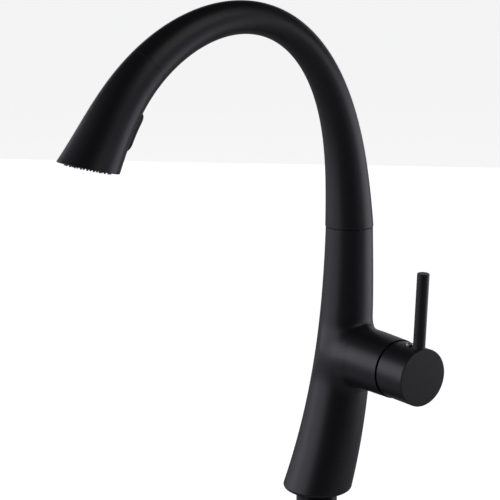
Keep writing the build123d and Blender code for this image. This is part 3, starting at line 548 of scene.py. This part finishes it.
# %% Rocker button
tilt = joints["rocker_tilt"]
along = np.array(joints["diverter_slide"]["axis"])
ROCKER_SIDE = np.array(tilt["axis"], float)
ROCKER_OUT = np.cross(ROCKER_SIDE, along)
ROCKER_PIN_DEPTH = 6.0 * MM
ROCKER_LENGTH, ROCKER_WIDTH = 30.0 * MM, 14.0 * MM
ROCKER_PROUD, ROCKER_DEPTH = 3.1 * MM, 3.6 * MM
ROCKER_DISH = 0.9 * MM
rocker_spot = np.array(tilt["pos_m"]) + ROCKER_OUT * ROCKER_PIN_DEPTH


def stadium(inset):
    """Outline of two half circles joined by straights, moved inwards by inset."""
    half = (ROCKER_LENGTH - ROCKER_WIDTH) / 2
    arc = np.linspace(0, np.pi, 25)
    straight = np.linspace(half, -half, 14)[1:-1]
    dx = np.concatenate([np.cos(arc), -np.ones(12), -np.cos(arc), np.ones(12)])
    dy = np.concatenate([np.sin(arc), np.zeros(12), -np.sin(arc), np.zeros(12)])
    centre = np.concatenate([np.full(25, half), straight, np.full(25, -half), -straight])
    size = ROCKER_WIDTH / 2 - inset
    return size * dx, centre * (1 - inset / ROCKER_LENGTH) + size * dy


def rocker_rows():
    """Height of the face: proud - dish * (1 - (y / half)^2) - a slight crown across."""
    edge = 1.1 * MM
    ease = np.linspace(0, np.pi / 2, 7)
    insets = np.concatenate([[ROCKER_WIDTH / 2], [0.6 * MM, 0], edge * (1 - np.cos(ease)),
                             np.linspace(edge, ROCKER_WIDTH / 2 - 0.02 * MM, 10)[1:]])
    drops = np.concatenate([[None], [None, None], edge * (1 - np.sin(ease)), np.zeros(9)])
    rows = []
    for inset, drop in zip(insets, drops):
        x, y = stadium(inset)
        face = ROCKER_PROUD - ROCKER_DISH * (1 - np.clip(np.abs(y) / (ROCKER_LENGTH / 2), 0, 1) ** 2)
        face = face - 0.5 * MM * (x / (ROCKER_WIDTH / 2)) ** 2
        z = np.full_like(x, -ROCKER_DEPTH) if drop is None else face - drop
        rows.append(np.stack([x, y, z], -1))
    return np.array(rows)


rows = rocker_rows()
rows = rocker_spot + rows[..., :1] * ROCKER_SIDE + rows[..., 1:2] * along + rows[..., 2:] * ROCKER_OUT
rocker = mesh_object("rocker_skin", rows, grid_faces(rows.shape[0], rows.shape[1]), sharp=50)
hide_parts("rocker_button")
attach(rocker, "rocker")
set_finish(rocker, "black_plastic")

# %% [markdown]
# ## Spray face
# Soft nozzles stand through the plate in two rings. Each is a small cone with a bore in its tip; all of
# them are one mesh, made by moving one spun outline to every spot at once.

# %% Nozzles
OUTLET = np.array([0, *(float(v[0]) for v in spout_at(1.0)[:2])])
OUT = np.array([0, *(float(v[0]) for v in spout_normal(1.0))])
ACROSS = np.array([1.0, 0, 0])
UP_FACE = np.cross(OUT, ACROSS)
NOZZLE_PROUD = 1.3 * MM
PLATE_BACK = 3.5 * MM
NOZZLE_RINGS = [(16.0 * MM, 22), (12.2 * MM, 16)]
spots = np.concatenate([
    ring * np.stack([np.cos(a), np.sin(a)], -1)
    for ring, count in NOZZLE_RINGS for a in [np.arange(count) * 2 * np.pi / count]
])
cone = np.array([
    (-PLATE_BACK, 0.0), (-PLATE_BACK, 0.93 * MM), (0.2 * MM, 0.9 * MM), (NOZZLE_PROUD - 0.2 * MM, 0.72 * MM),
    (NOZZLE_PROUD, 0.55 * MM), (NOZZLE_PROUD, 0.32 * MM), (NOZZLE_PROUD - 0.8 * MM, 0.28 * MM),
    (NOZZLE_PROUD - 0.8 * MM, 0.0),
])
turn = np.linspace(0, 2 * np.pi, 14, endpoint=False)
circle = np.cos(turn)[:, None] * ACROSS + np.sin(turn)[:, None] * UP_FACE
one = cone[:, 0, None, None] * OUT + cone[:, 1, None, None] * circle
centres = OUTLET + spots[:, :1] * ACROSS + spots[:, 1:] * UP_FACE
points = centres[:, None, None] + one
faces = grid_faces(len(cone), len(turn))
faces = (faces[None] + (np.arange(len(spots)) * len(cone) * len(turn))[:, None, None]).reshape(-1, 4)
nozzles = mesh_object("nozzle_skin", points, faces, sharp=50)
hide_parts("nozzle_mat")
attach(nozzles, "spray_head")
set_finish(nozzles, "grey_nozzles")

# %% Spray plate
PLATE_RADIUS, PLATE_BORE = 20.2 * MM, 8.2 * MM
PLATE_SUNK = 0.9 * MM
plate_rows = rounded([
    (-PLATE_BACK, PLATE_RADIUS), (-PLATE_SUNK, PLATE_RADIUS), (-PLATE_SUNK, PLATE_BORE), (-PLATE_BACK, PLATE_BORE),
], np.array([0.1, 0.5, 0.3, 0.1]) * MM)
plate = spin("plate_skin", plate_rows, OUTLET, OUT, count=128)
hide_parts("spray_plate")
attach(plate, "spray_head")
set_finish(plate, "black_plastic")

# %% [markdown]
# ## Pull-out hose
# Inside the spout the hose is one braided tube. It is split where it crosses a joint: the lower length
# stays in the body, the arch length turns with the spout, and the last length, which leaves the spout
# when the spray head is pulled, is left unattached. Its braid is laid out for the pulled length, because only then
# it shows.

# %% Hose centre line
HOSE_RADIUS = 6.0 * MM
pull = joints["hose_pull"]
DOCK = np.array(joints["head_turn"]["pos_m"])
DOCK_AXIS = np.array(pull["axis"], float)
PULL_LENGTH = pull["range_m"][1]
HOSE_LEAD, HOSE_LAST_RUN = 3.0 * MM, 18.0 * MM
hose_points = np.array([
    (-4.5, -2.5, -74.0), (-4.5, -2.5, -12.0), (-9.0, 17.0, 62.0), (-7.5, 29.0, 140.0), (0.0, 30.5, 196.0),
    (0.0, 28.5, 248.9), (0.0, 19.9, 295.9), (0.0, 3.4, 334.7), (0.0, -22.6, 364.9), (0.0, -58.5, 381.3),
    (0.0, -100.1, 380.8),
]) * MM
hose_end = DOCK - DOCK_AXIS * HOSE_LEAD
hose_points = np.vstack([hose_points, hose_end - DOCK_AXIS * HOSE_LAST_RUN, hose_end])


def smooth_line(points, per_span=24):
    """Quadratic B-spline: each span runs between the midpoints of two runs, bent by their shared corner."""
    middle = (points[:-1] + points[1:]) / 2
    starts = np.vstack([points[:1], middle[1:-1]])
    ends = np.vstack([middle[1:-1], points[-1:]])
    t = np.linspace(0, 1, per_span, endpoint=False)[None, :, None]
    line = (1 - t) ** 2 * starts[:, None] + 2 * t * (1 - t) * points[1:-1, None] + t**2 * ends[:, None]
    return np.vstack([line.reshape(-1, 3), points[-1:]])


centre_line = smooth_line(hose_points)
run = np.concatenate([[0], np.cumsum(np.linalg.norm(np.diff(centre_line, axis=0), axis=1))])
print("hose length", round(float(run[-1]), 4))


def line_at(distance):
    """Points of the centre line at distances along it."""
    return np.stack([np.interp(distance, run, centre_line[:, k]) for k in range(3)], -1)


def hose_piece(name, distance, pattern, columns=32):
    """Tube along the centre line; its UV runs once round and along the given pattern distance."""
    spot = line_at(distance)
    way = line_at(np.minimum(distance + 0.5 * MM, run[-1])) - line_at(np.maximum(distance - 0.5 * MM, 0))
    way /= np.linalg.norm(way, axis=1, keepdims=True)
    side = np.cross(way, np.cross([1.0, 0, 0], way))
    side /= np.linalg.norm(side, axis=1, keepdims=True)
    other = np.cross(way, side)
    turn = np.linspace(0, 2 * np.pi, columns, endpoint=False)
    round_way = np.cos(turn)[:, None] * side[:, None] + np.sin(turn)[:, None] * other[:, None]
    rows = spot[:, None] + HOSE_RADIUS * round_way
    mesh = bpy.data.meshes.new(name)
    faces = grid_faces(len(distance), columns)
    mesh.from_pydata(rows.reshape(-1, 3).tolist(), [], faces.tolist())
    column = faces % columns
    column[:, 1:3] = column[:, :1] + 1
    layer = mesh.uv_layers.new(name="braid")
    uv = np.stack([column / columns, pattern[faces // columns] / (2 * np.pi * HOSE_RADIUS)], -1)
    layer.data.foreach_set("uv", uv.ravel())
    bm = bmesh.new()
    bm.from_mesh(mesh)
    bmesh.ops.holes_fill(bm, edges=[e for e in bm.edges if e.is_boundary])
    bmesh.ops.recalc_face_normals(bm, faces=bm.faces)
    bm.to_mesh(mesh)
    bm.free()
    mesh.polygons.foreach_set("use_smooth", np.ones(len(mesh.polygons), bool))
    mesh.set_sharp_from_angle(angle=math.radians(50))
    piece = bpy.data.objects.new(name, mesh)
    bpy.context.scene.collection.objects.link(piece)
    print(name, len(mesh.polygons), "faces")
    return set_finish(piece, "hose_braid")


# %% Hose pieces
PULL_START = 55.0 * MM
BLEND_CLEAR = 9.0 * MM
swivel_run = float(np.interp(BODY_HEIGHT, centre_line[:200, 2], run[:200]))
stretch_run = float(run[-1]) - PULL_START
lower = np.linspace(0, swivel_run, 70)
arch = np.linspace(swivel_run, stretch_run, 140)
hose_lower = hose_piece("hose_lower", lower, lower)
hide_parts("pull_hose")
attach(hose_lower, "root")
hose_arch = hose_piece("hose_arch", arch, arch)
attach(hose_arch, "spout")
blend_start = line_at(stretch_run)
blend_end = hose_end - DOCK_AXIS * BLEND_CLEAR


def pulled_distance(distance):
    """Distance along the hose once it is pulled: its own plus the blend's smooth share of the pull."""
    reach = blend_end - blend_start
    share = np.clip((line_at(distance) - blend_start) @ reach / (reach @ reach), 0, 1)
    return distance + PULL_LENGTH * share**2 * (3 - 2 * share)


fine = np.linspace(stretch_run, float(run[-1]), 4000)
even = np.linspace(pulled_distance(fine)[0], pulled_distance(fine)[-1], 320)
last = np.interp(even, pulled_distance(fine), fine)
hose_pull = hose_piece("hose_pulled_length", last, even)
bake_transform(hose_pull)

# %% [markdown]
# ## Mounting under the worktop
# The shank is a threaded brass tube, blackened like the body. Its thread is a radius that follows height
# and turn together, so the crest winds like a real screw. The nut is a hexagon whose corners are turned
# off by a cone.

# %% Shank and nut
shank_low, shank_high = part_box("mounting_shank")
SHANK_RADIUS = shank_high.x
SHANK_BORE = 13.5 * MM
THREAD_PITCH, THREAD_DEPTH, THREAD_LEAD = 1.5 * MM, 0.75 * MM, 1.2 * MM


def round_z(radius, height, turn):
    """Points of a grid of radii round the Z axis, one row to each height."""
    return np.stack([radius * np.cos(turn), radius * np.sin(turn), height[:, None] + 0 * radius], -1)


def thread_rows():
    """Radius = outer - depth * saw(height / pitch - turn), eased to the core at the lower end only."""
    height = np.arange(shank_low.z, shank_high.z, THREAD_PITCH / 8)
    turn = np.linspace(0, 2 * np.pi, 72, endpoint=False)
    phase = (height[:, None] / THREAD_PITCH - turn / (2 * np.pi)) % 1
    saw = np.clip(np.abs(2 * phase - 1) * 1.25 - 0.1, 0, 1)
    radius = SHANK_RADIUS - THREAD_DEPTH * saw
    lead = np.clip((height - shank_low.z) / THREAD_LEAD, 0, 1)[:, None]
    radius = radius - THREAD_DEPTH * (1 - lead)
    radius = np.vstack([radius, np.full((2, len(turn)), SHANK_BORE)])
    height = np.concatenate([height, [height[-1], shank_low.z]])
    return round_z(radius, height, turn)


rows = thread_rows()
shank = mesh_object("shank_skin", rows, grid_faces(rows.shape[0], rows.shape[1], wrap_rows=True), sharp=60)
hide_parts("mounting_shank")
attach(shank, "root")
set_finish(shank, "black_coat")

nut_low, nut_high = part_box("mounting_nut")
NUT_FLAT = 22.0 * MM
NUT_CHAMFER, NUT_SLOPE, NUT_FACE = 3.2 * MM, 1.7, 0.97
NUT_LEAD, NUT_LEAD_RUN = 0.8 * MM, 0.9 * MM
NUT_GRIP = 0.1 * MM


def nut_rows():
    """Hexagon radius = half flat / cos(turn from the flat's middle), cut by a cone at both faces."""
    turn = np.linspace(0, 2 * np.pi, 120, endpoint=False)
    hexagon = NUT_FLAT / np.cos((turn + np.pi / 6) % (np.pi / 3) - np.pi / 6)
    chamfer = np.linspace(0, NUT_CHAMFER, 8)
    grow = NUT_FLAT * NUT_FACE + chamfer[:, None] * NUT_SLOPE
    cut_rows = np.minimum(hexagon, grow)
    bore = np.full((4, len(turn)), SHANK_RADIUS - NUT_GRIP)
    bore[[0, 3]] += NUT_LEAD
    radius = np.vstack([cut_rows, cut_rows[::-1], bore])
    ends = [nut_high.z, nut_high.z - NUT_LEAD_RUN, nut_low.z + NUT_LEAD_RUN, nut_low.z]
    height = np.concatenate([nut_low.z + chamfer, nut_high.z - chamfer[::-1], ends])
    return round_z(radius, height, turn)


rows = nut_rows()
nut = mesh_object("nut_skin", rows, grid_faces(rows.shape[0], rows.shape[1], wrap_rows=True), sharp=25)
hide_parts("mounting_nut")
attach(nut, "root")
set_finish(nut, "brass")

# %% [markdown]
# ## Inner pieces
# The remaining pieces sit inside, or show only when something is moved. Their CAD shapes are right, so
# each gets a merged, smooth-shaded copy that stands for its node.

# %% Smooth copies of inner nodes
slot_of = {part["node"]: part["material_slot"] for part in frame["record"]["subparts"]}
body_of = {n: b for b, members in frame["record"]["behaviour"]["bodies"].items() for n in members}
done = {"spout_tube", "head_shell", "body_shell", "handle_hub", "lever_rod", "hub_plug", "rocker_button",
        "nozzle_mat", "spray_plate", "pull_hose", "mounting_shank", "mounting_nut"}
for name in sorted(set(nodes) - done):
    mesh = nodes[name].data.copy()
    mesh.materials.clear()
    mesh.name = name + "_smooth"
    copy = finish_mesh(name + "_smooth", mesh, 30.0)
    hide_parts(name)
    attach(copy, body_of[name])
    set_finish(copy, slot_of[name])

# %% [markdown]
# ## Finishes
# Effects that several finishes share are node groups: a fine grain with broad cloudiness, edge wear, and
# the hose's braid.
# Each material places them with its own values and keeps its shader to itself.


# %% Node group helper
def node_group(name, inputs, outputs):
    """Empty shader group with float sockets; returns the tree, its input node and its output node."""
    tree = bpy.data.node_groups.new(name, "ShaderNodeTree")
    for label, value in inputs.items():
        socket = tree.interface.new_socket(label, in_out="INPUT", socket_type="NodeSocketFloat")
        socket.default_value = value
    for label in outputs:
        tree.interface.new_socket(label, in_out="OUTPUT", socket_type="NodeSocketFloat")
    return tree, tree.nodes.new("NodeGroupInput"), tree.nodes.new("NodeGroupOutput")


def math_node(tree, operation, first, second=None):
    node = tree.nodes.new("ShaderNodeMath")
    node.operation = operation
    for socket, value in zip(node.inputs, (first, second)):
        if value is None:
            continue
        if isinstance(value, (int, float)):
            socket.default_value = value
        else:
            tree.links.new(value, socket)
    return node.outputs[0]


def noise_node(tree, vector, scale, detail=2.0, roughness=0.5):
    node = tree.nodes.new("ShaderNodeTexNoise")
    node.inputs["Detail"].default_value = detail
    node.inputs["Roughness"].default_value = roughness
    tree.links.new(vector, node.inputs["Vector"])
    if isinstance(scale, (int, float)):
        node.inputs["Scale"].default_value = scale
    else:
        tree.links.new(scale, node.inputs["Scale"])
    return node.outputs["Fac"]


# %% Grain group
# Height is fine noise plus a little coarser orange peel; Cloud is broad, slow variation around 0.5.
grain, take, give = node_group("fine_grain", {"Fine Scale": 2500.0, "Peel Scale": 350.0, "Cloud Scale": 14.0},
                               ["Height", "Cloud", "Fleck"])
place = grain.nodes.new("ShaderNodeTexCoord").outputs["Object"]
fine = noise_node(grain, place, take.outputs["Fine Scale"], 2.0, 0.6)
peel = noise_node(grain, place, take.outputs["Peel Scale"], 1.0)
cloud = noise_node(grain, place, take.outputs["Cloud Scale"], 3.0, 0.55)
height = math_node(grain, "ADD", math_node(grain, "MULTIPLY", fine, 0.6), math_node(grain, "MULTIPLY", peel, 0.4))
grain.links.new(height, give.inputs["Height"])
grain.links.new(cloud, give.inputs["Cloud"])
fleck = math_node(grain, "GREATER_THAN", fine, 0.66)
grain.links.new(fleck, give.inputs["Fleck"])

# %% Edge wear group
# Pointiness is high on convex edges; noise breaks the worn line up.
wear, take, give = node_group("edge_wear", {"Start": 0.52, "Width": 0.06, "Breakup Scale": 180.0}, ["Mask"])
point = wear.nodes.new("ShaderNodeNewGeometry").outputs["Pointiness"]
place = wear.nodes.new("ShaderNodeTexCoord").outputs["Object"]
rough = noise_node(wear, place, take.outputs["Breakup Scale"], 3.0, 0.6)
edge = math_node(wear, "DIVIDE", math_node(wear, "SUBTRACT", point, take.outputs["Start"]), take.outputs["Width"])
mask = math_node(wear, "MULTIPLY", edge, math_node(wear, "ADD", math_node(wear, "MULTIPLY", rough, 0.9), 0.25))
clamp = wear.nodes.new("ShaderNodeClamp")
wear.links.new(mask, clamp.inputs["Value"])
wear.links.new(clamp.outputs[0], give.inputs["Mask"])

# %% Braid group
# Two sets of strands wind opposite ways; each is a rounded ridge, and they pass over and under.
braid, take, give = node_group("woven_braid", {"Strands": 16.0}, ["Height", "Gap"])
uv = braid.nodes.new("ShaderNodeUVMap")
uv.uv_map = "braid"
split = braid.nodes.new("ShaderNodeSeparateXYZ")
braid.links.new(uv.outputs["UV"], split.inputs["Vector"])
plus = math_node(braid, "ADD", split.outputs["X"], split.outputs["Y"])
minus = math_node(braid, "SUBTRACT", split.outputs["X"], split.outputs["Y"])
turns = [math_node(braid, "MULTIPLY", way, take.outputs["Strands"]) for way in (plus, minus)]
waves = [math_node(braid, "SINE", math_node(braid, "MULTIPLY", way, 2 * math.pi)) for way in turns]
ridges = [math_node(braid, "ABSOLUTE", math_node(braid, "SINE", math_node(braid, "MULTIPLY", way, 2 * math.pi)))
          for way in turns]
over = math_node(braid, "MULTIPLY", waves[0], waves[1])
first = math_node(braid, "ADD", ridges[0], math_node(braid, "MULTIPLY", over, 0.5))
second = math_node(braid, "SUBTRACT", ridges[1], math_node(braid, "MULTIPLY", over, 0.5))
weave = math_node(braid, "MAXIMUM", first, second)
braid.links.new(weave, give.inputs["Height"])
braid.links.new(math_node(braid, "LESS_THAN", weave, 0.55), give.inputs["Gap"])

# %% [markdown]
# A finish starts from the grain and the wear. Colour runs from a base through a cloudy tint to the worn
# colour on edges, and roughness varies with the same cloud, as a sprayed or moulded surface does.


# %% Material maker
def place_group(tree, group, **values):
    node = tree.nodes.new("ShaderNodeGroup")
    node.node_tree = group
    for label, value in values.items():
        node.inputs[label.replace("_", " ")].default_value = value
    return node


def mix_colour(tree, factor, first, second):
    node = tree.nodes.new("ShaderNodeMix")
    node.data_type = "RGBA"
    tree.links.new(factor, node.inputs["Factor"])
    for socket, value in ((node.inputs["A"], first), (node.inputs["B"], second)):
        if isinstance(value, tuple):
            socket.default_value = (*value, 1.0)
        else:
            tree.links.new(value, socket)
    return node.outputs["Result"]


def spread(tree, value, low, high):
    """Maps 0..1 to low..high."""
    return math_node(tree, "ADD", math_node(tree, "MULTIPLY", value, high - low), low)


def finish(name, dark, light, worn, rough, bump, grain_values, wear_values, metallic=0.0, worn_rough=None,
           coat=0.0, coat_rough=0.2, specular=0.5, anisotropic=0.0, sheen=0.0):
    material = bpy.data.materials.new(name)
    material.use_nodes = True
    tree = material.node_tree
    shader = tree.nodes["Principled BSDF"]
    surface = place_group(tree, grain, **grain_values)
    edges = place_group(tree, wear, **wear_values)
    colour = mix_colour(tree, surface.outputs["Cloud"], dark, light)
    colour = mix_colour(tree, edges.outputs["Mask"], colour, worn)
    tree.links.new(colour, shader.inputs["Base Color"])
    roughness = spread(tree, surface.outputs["Cloud"], *rough)
    if worn_rough is not None:
        change = math_node(tree, "MULTIPLY", edges.outputs["Mask"], worn_rough - sum(rough) / 2)
        roughness = math_node(tree, "ADD", roughness, change)
    tree.links.new(roughness, shader.inputs["Roughness"])
    relief = tree.nodes.new("ShaderNodeBump")
    relief.inputs["Strength"].default_value = bump[0]
    relief.inputs["Distance"].default_value = bump[1]
    tree.links.new(surface.outputs["Height"], relief.inputs["Height"])
    tree.links.new(relief.outputs["Normal"], shader.inputs["Normal"])
    shader.inputs["Metallic"].default_value = metallic
    shader.inputs["Specular IOR Level"].default_value = specular
    shader.inputs["Coat Weight"].default_value = coat
    shader.inputs["Coat Roughness"].default_value = coat_rough
    shader.inputs["Anisotropic"].default_value = anisotropic
    shader.inputs["Sheen Weight"].default_value = sheen
    return material


# %% Materials
plain_wear = {"Start": 0.53, "Width": 0.08, "Breakup_Scale": 160.0}
finishes = {
    "black_coat": finish(
        "black_powder_coat", (0.0080, 0.0074, 0.0092), (0.0102, 0.0095, 0.0117), (0.024, 0.023, 0.026),
        (0.36, 0.42), (0.10, 0.00004), {"Fine_Scale": 4200.0, "Peel_Scale": 700.0, "Cloud_Scale": 9.0},
        plain_wear, worn_rough=0.30),
    "black_plastic": finish(
        "black_moulded_plastic", (0.011, 0.011, 0.012), (0.014, 0.014, 0.015), (0.028, 0.028, 0.030),
        (0.32, 0.40), (0.12, 0.00003), {"Fine_Scale": 5200.0, "Peel_Scale": 1500.0, "Cloud_Scale": 40.0},
        plain_wear, worn_rough=0.28),
    "white_plastic": finish(
        "white_moulded_plastic", (0.68, 0.67, 0.62), (0.76, 0.75, 0.71), (0.82, 0.81, 0.78),
        (0.38, 0.48), (0.1, 0.00004), {"Fine_Scale": 3000.0, "Peel_Scale": 900.0, "Cloud_Scale": 60.0},
        plain_wear),
    "grey_nozzles": finish(
        "soft_grey_silicone", (0.20, 0.205, 0.21), (0.26, 0.265, 0.27), (0.33, 0.33, 0.34),
        (0.50, 0.62), (0.15, 0.00004), {"Fine_Scale": 5000.0, "Peel_Scale": 1200.0, "Cloud_Scale": 90.0},
        plain_wear, sheen=0.15),
    "brass": finish(
        "machined_brass", (0.60, 0.42, 0.17), (0.70, 0.52, 0.24), (0.82, 0.66, 0.36),
        (0.26, 0.36), (0.12, 0.00005), {"Fine_Scale": 1600.0, "Peel_Scale": 260.0, "Cloud_Scale": 45.0},
        plain_wear, metallic=1.0, worn_rough=0.2, anisotropic=0.3),
    "steel": finish(
        "stainless_steel", (0.50, 0.50, 0.51), (0.60, 0.60, 0.61), (0.75, 0.75, 0.76),
        (0.24, 0.34), (0.12, 0.00004), {"Fine_Scale": 2200.0, "Peel_Scale": 300.0, "Cloud_Scale": 50.0},
        plain_wear, metallic=1.0, worn_rough=0.18, anisotropic=0.4),
    "ceramic": finish(
        "polished_ceramic", (0.80, 0.79, 0.76), (0.86, 0.85, 0.83), (0.90, 0.90, 0.88),
        (0.10, 0.16), (0.04, 0.00003), {"Fine_Scale": 3000.0, "Peel_Scale": 500.0, "Cloud_Scale": 60.0},
        plain_wear, coat=0.3),
    "rubber": finish(
        "black_rubber", (0.016, 0.016, 0.016), (0.024, 0.024, 0.024), (0.045, 0.045, 0.044),
        (0.62, 0.78), (0.25, 0.00006), {"Fine_Scale": 2600.0, "Peel_Scale": 700.0, "Cloud_Scale": 50.0},
        plain_wear, sheen=0.1),
    "magnet": finish(
        "sintered_magnet", (0.055, 0.055, 0.060), (0.085, 0.085, 0.090), (0.14, 0.14, 0.145),
        (0.42, 0.55), (0.2, 0.00006), {"Fine_Scale": 2400.0, "Peel_Scale": 900.0, "Cloud_Scale": 80.0},
        plain_wear, metallic=0.6),
    "chrome_trim": finish(
        "satin_black_trim", (0.014, 0.014, 0.015), (0.020, 0.020, 0.021), (0.05, 0.05, 0.052),
        (0.24, 0.32), (0.06, 0.00003), {"Fine_Scale": 3600.0, "Peel_Scale": 600.0, "Cloud_Scale": 30.0},
        plain_wear, coat=0.3),
    "hose_braid": finish(
        "woven_nylon_braid", (0.020, 0.020, 0.022), (0.034, 0.034, 0.037), (0.05, 0.05, 0.053),
        (0.50, 0.62), (0.1, 0.00005), {"Fine_Scale": 3000.0, "Peel_Scale": 900.0, "Cloud_Scale": 60.0},
        plain_wear, sheen=0.2),
}

# %% Braid relief
tree = finishes["hose_braid"].node_tree
weave = place_group(tree, braid, Strands=10.0)
shader = tree.nodes["Principled BSDF"]
woven = tree.nodes.new("ShaderNodeBump")
woven.inputs["Strength"].default_value = 0.9
woven.inputs["Distance"].default_value = 0.0007
tree.links.new(weave.outputs["Height"], woven.inputs["Height"])
tree.links.new(tree.nodes["Bump"].outputs["Normal"], woven.inputs["Normal"])
tree.links.new(woven.outputs["Normal"], shader.inputs["Normal"])
strand = mix_colour(tree, weave.outputs["Gap"], (0.045, 0.045, 0.049), (0.006, 0.006, 0.007))
tree.links.new(strand, shader.inputs["Base Color"])

# %% Give every piece its finish
pieces = [o for o in bpy.context.scene.objects if o.type == "MESH" and "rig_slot" in o]
for piece in pieces:
    piece.data.materials.clear()
    piece.data.materials.append(finishes[piece["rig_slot"]])
for name, node in nodes.items():
    for material_slot in node.material_slots:
        material_slot.material = finishes[slot_of[name]]
print(len(pieces), "finished pieces")

# %% [markdown]
# ## Stage, light and camera
# The stage is a plain pale floor that runs far back. A dark satin thing is drawn by what it reflects, so
# the light is a few large soft panels in a dim room, and only the camera sees the pale surroundings.

# %% Colour view
# The plain view keeps black black; the filmic one would lift a matte black thing to grey.
bpy.context.scene.view_settings.view_transform = "Standard"
bpy.context.scene.view_settings.look = "None"

# %% Stage
low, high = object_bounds()
FLOOR_HALF = 40.0
FLOOR_GLOW = 0.88
corners = np.array([[-1, -1, 0], [1, -1, 0], [1, 1, 0], [-1, 1, 0]]) * FLOOR_HALF + [0, 0, low.z]
floor_mesh = bpy.data.meshes.new("floor")
floor_mesh.from_pydata(corners.tolist(), [], [(0, 1, 2, 3)])
floor = bpy.data.objects.new("floor", floor_mesh)
bpy.context.scene.collection.objects.link(floor)
floor_material = bpy.data.materials.new("pale_floor")
floor_material.use_nodes = True
tree = floor_material.node_tree
paint = tree.nodes["Principled BSDF"]
paint.inputs["Base Color"].default_value = (0.60, 0.60, 0.60, 1)
paint.inputs["Roughness"].default_value = 0.8
paint.inputs["Emission Color"].default_value = (1, 1, 1, 1)
ray = tree.nodes.new("ShaderNodeLightPath")
glow = math_node(tree, "MULTIPLY", ray.outputs["Is Camera Ray"], FLOOR_GLOW)
tree.links.new(glow, paint.inputs["Emission Strength"])
floor.data.materials.append(floor_material)

world = bpy.data.worlds.new("studio")
bpy.context.scene.world = world
world.use_nodes = True
tree = world.node_tree
room = tree.nodes["Background"]
room.inputs["Color"].default_value = (0.9, 0.92, 1.0, 1)
room.inputs["Strength"].default_value = 0.03
seen = tree.nodes.new("ShaderNodeBackground")
seen.inputs["Color"].default_value = (1, 1, 1, 1)
seen.inputs["Strength"].default_value = 1.0
ray = tree.nodes.new("ShaderNodeLightPath")
choose = tree.nodes.new("ShaderNodeMixShader")
tree.links.new(ray.outputs["Is Camera Ray"], choose.inputs["Fac"])
tree.links.new(room.outputs[0], choose.inputs[1])
tree.links.new(seen.outputs[0], choose.inputs[2])
tree.links.new(choose.outputs[0], tree.nodes["World Output"].inputs["Surface"])

# %% Camera
AZIMUTH, ELEVATION = math.radians(53.354), math.radians(13.187)
CAMERA_PLACE = Vector((0.92187, -0.75315, 0.47532))
LENS = 112.53
back = Vector((math.sin(AZIMUTH) * math.cos(ELEVATION), -math.cos(AZIMUTH) * math.cos(ELEVATION),
               math.sin(ELEVATION)))
camera = bpy.data.objects.new("camera", bpy.data.cameras.new("camera"))
bpy.context.scene.collection.objects.link(camera)
camera.data.sensor_width = 36.0
camera.data.lens = LENS
camera.location = CAMERA_PLACE
camera.rotation_euler = back.to_track_quat("Z", "Y").to_euler()
bpy.context.scene.camera = camera

# %% Lights
right = Vector((math.cos(AZIMUTH), math.sin(AZIMUTH), 0))
target = Vector((0, -0.06, 0.2))


def panel(name, toward, distance, size, power, colour=(1, 1, 1)):
    """Soft rectangular light, placed by its direction from the object: right, towards camera, up."""
    way = (right * toward[0] + back * toward[1] + Vector((0, 0, 1)) * toward[2]).normalized()
    light = bpy.data.lights.new(name, "AREA")
    light.shape = "RECTANGLE"
    light.size, light.size_y = size
    light.energy = power
    light.color = colour
    lamp = bpy.data.objects.new(name, light)
    bpy.context.scene.collection.objects.link(lamp)
    lamp.location = target + way * distance
    lamp.rotation_euler = way.to_track_quat("Z", "Y").to_euler()
    lamp.visible_camera = False
    return lamp


COOL = (0.97, 0.95, 1.06)
panel("left_panel", (-0.95, 0.22, 0.06), 1.6, (2.0, 1.5), 12.5, COOL)
panel("left_back_panel", (-0.86, -0.5, 0.1), 1.8, (1.4, 1.5), 6.0, COOL)
panel("right_panel", (0.90, 0.43, 0.10), 1.8, (1.4, 1.8), 2.4, COOL)
panel("disc_panel", (0.957, -0.292, 0.02), 0.8, (0.7, 0.5), 1.5, COOL)
panel("upper_right_panel", (0.65, 0.45, 0.65), 1.8, (1.2, 1.2), 4.0)
panel("back_panel", (0.1, -1.0, 0.35), 2.0, (3.0, 1.4), 6.0)
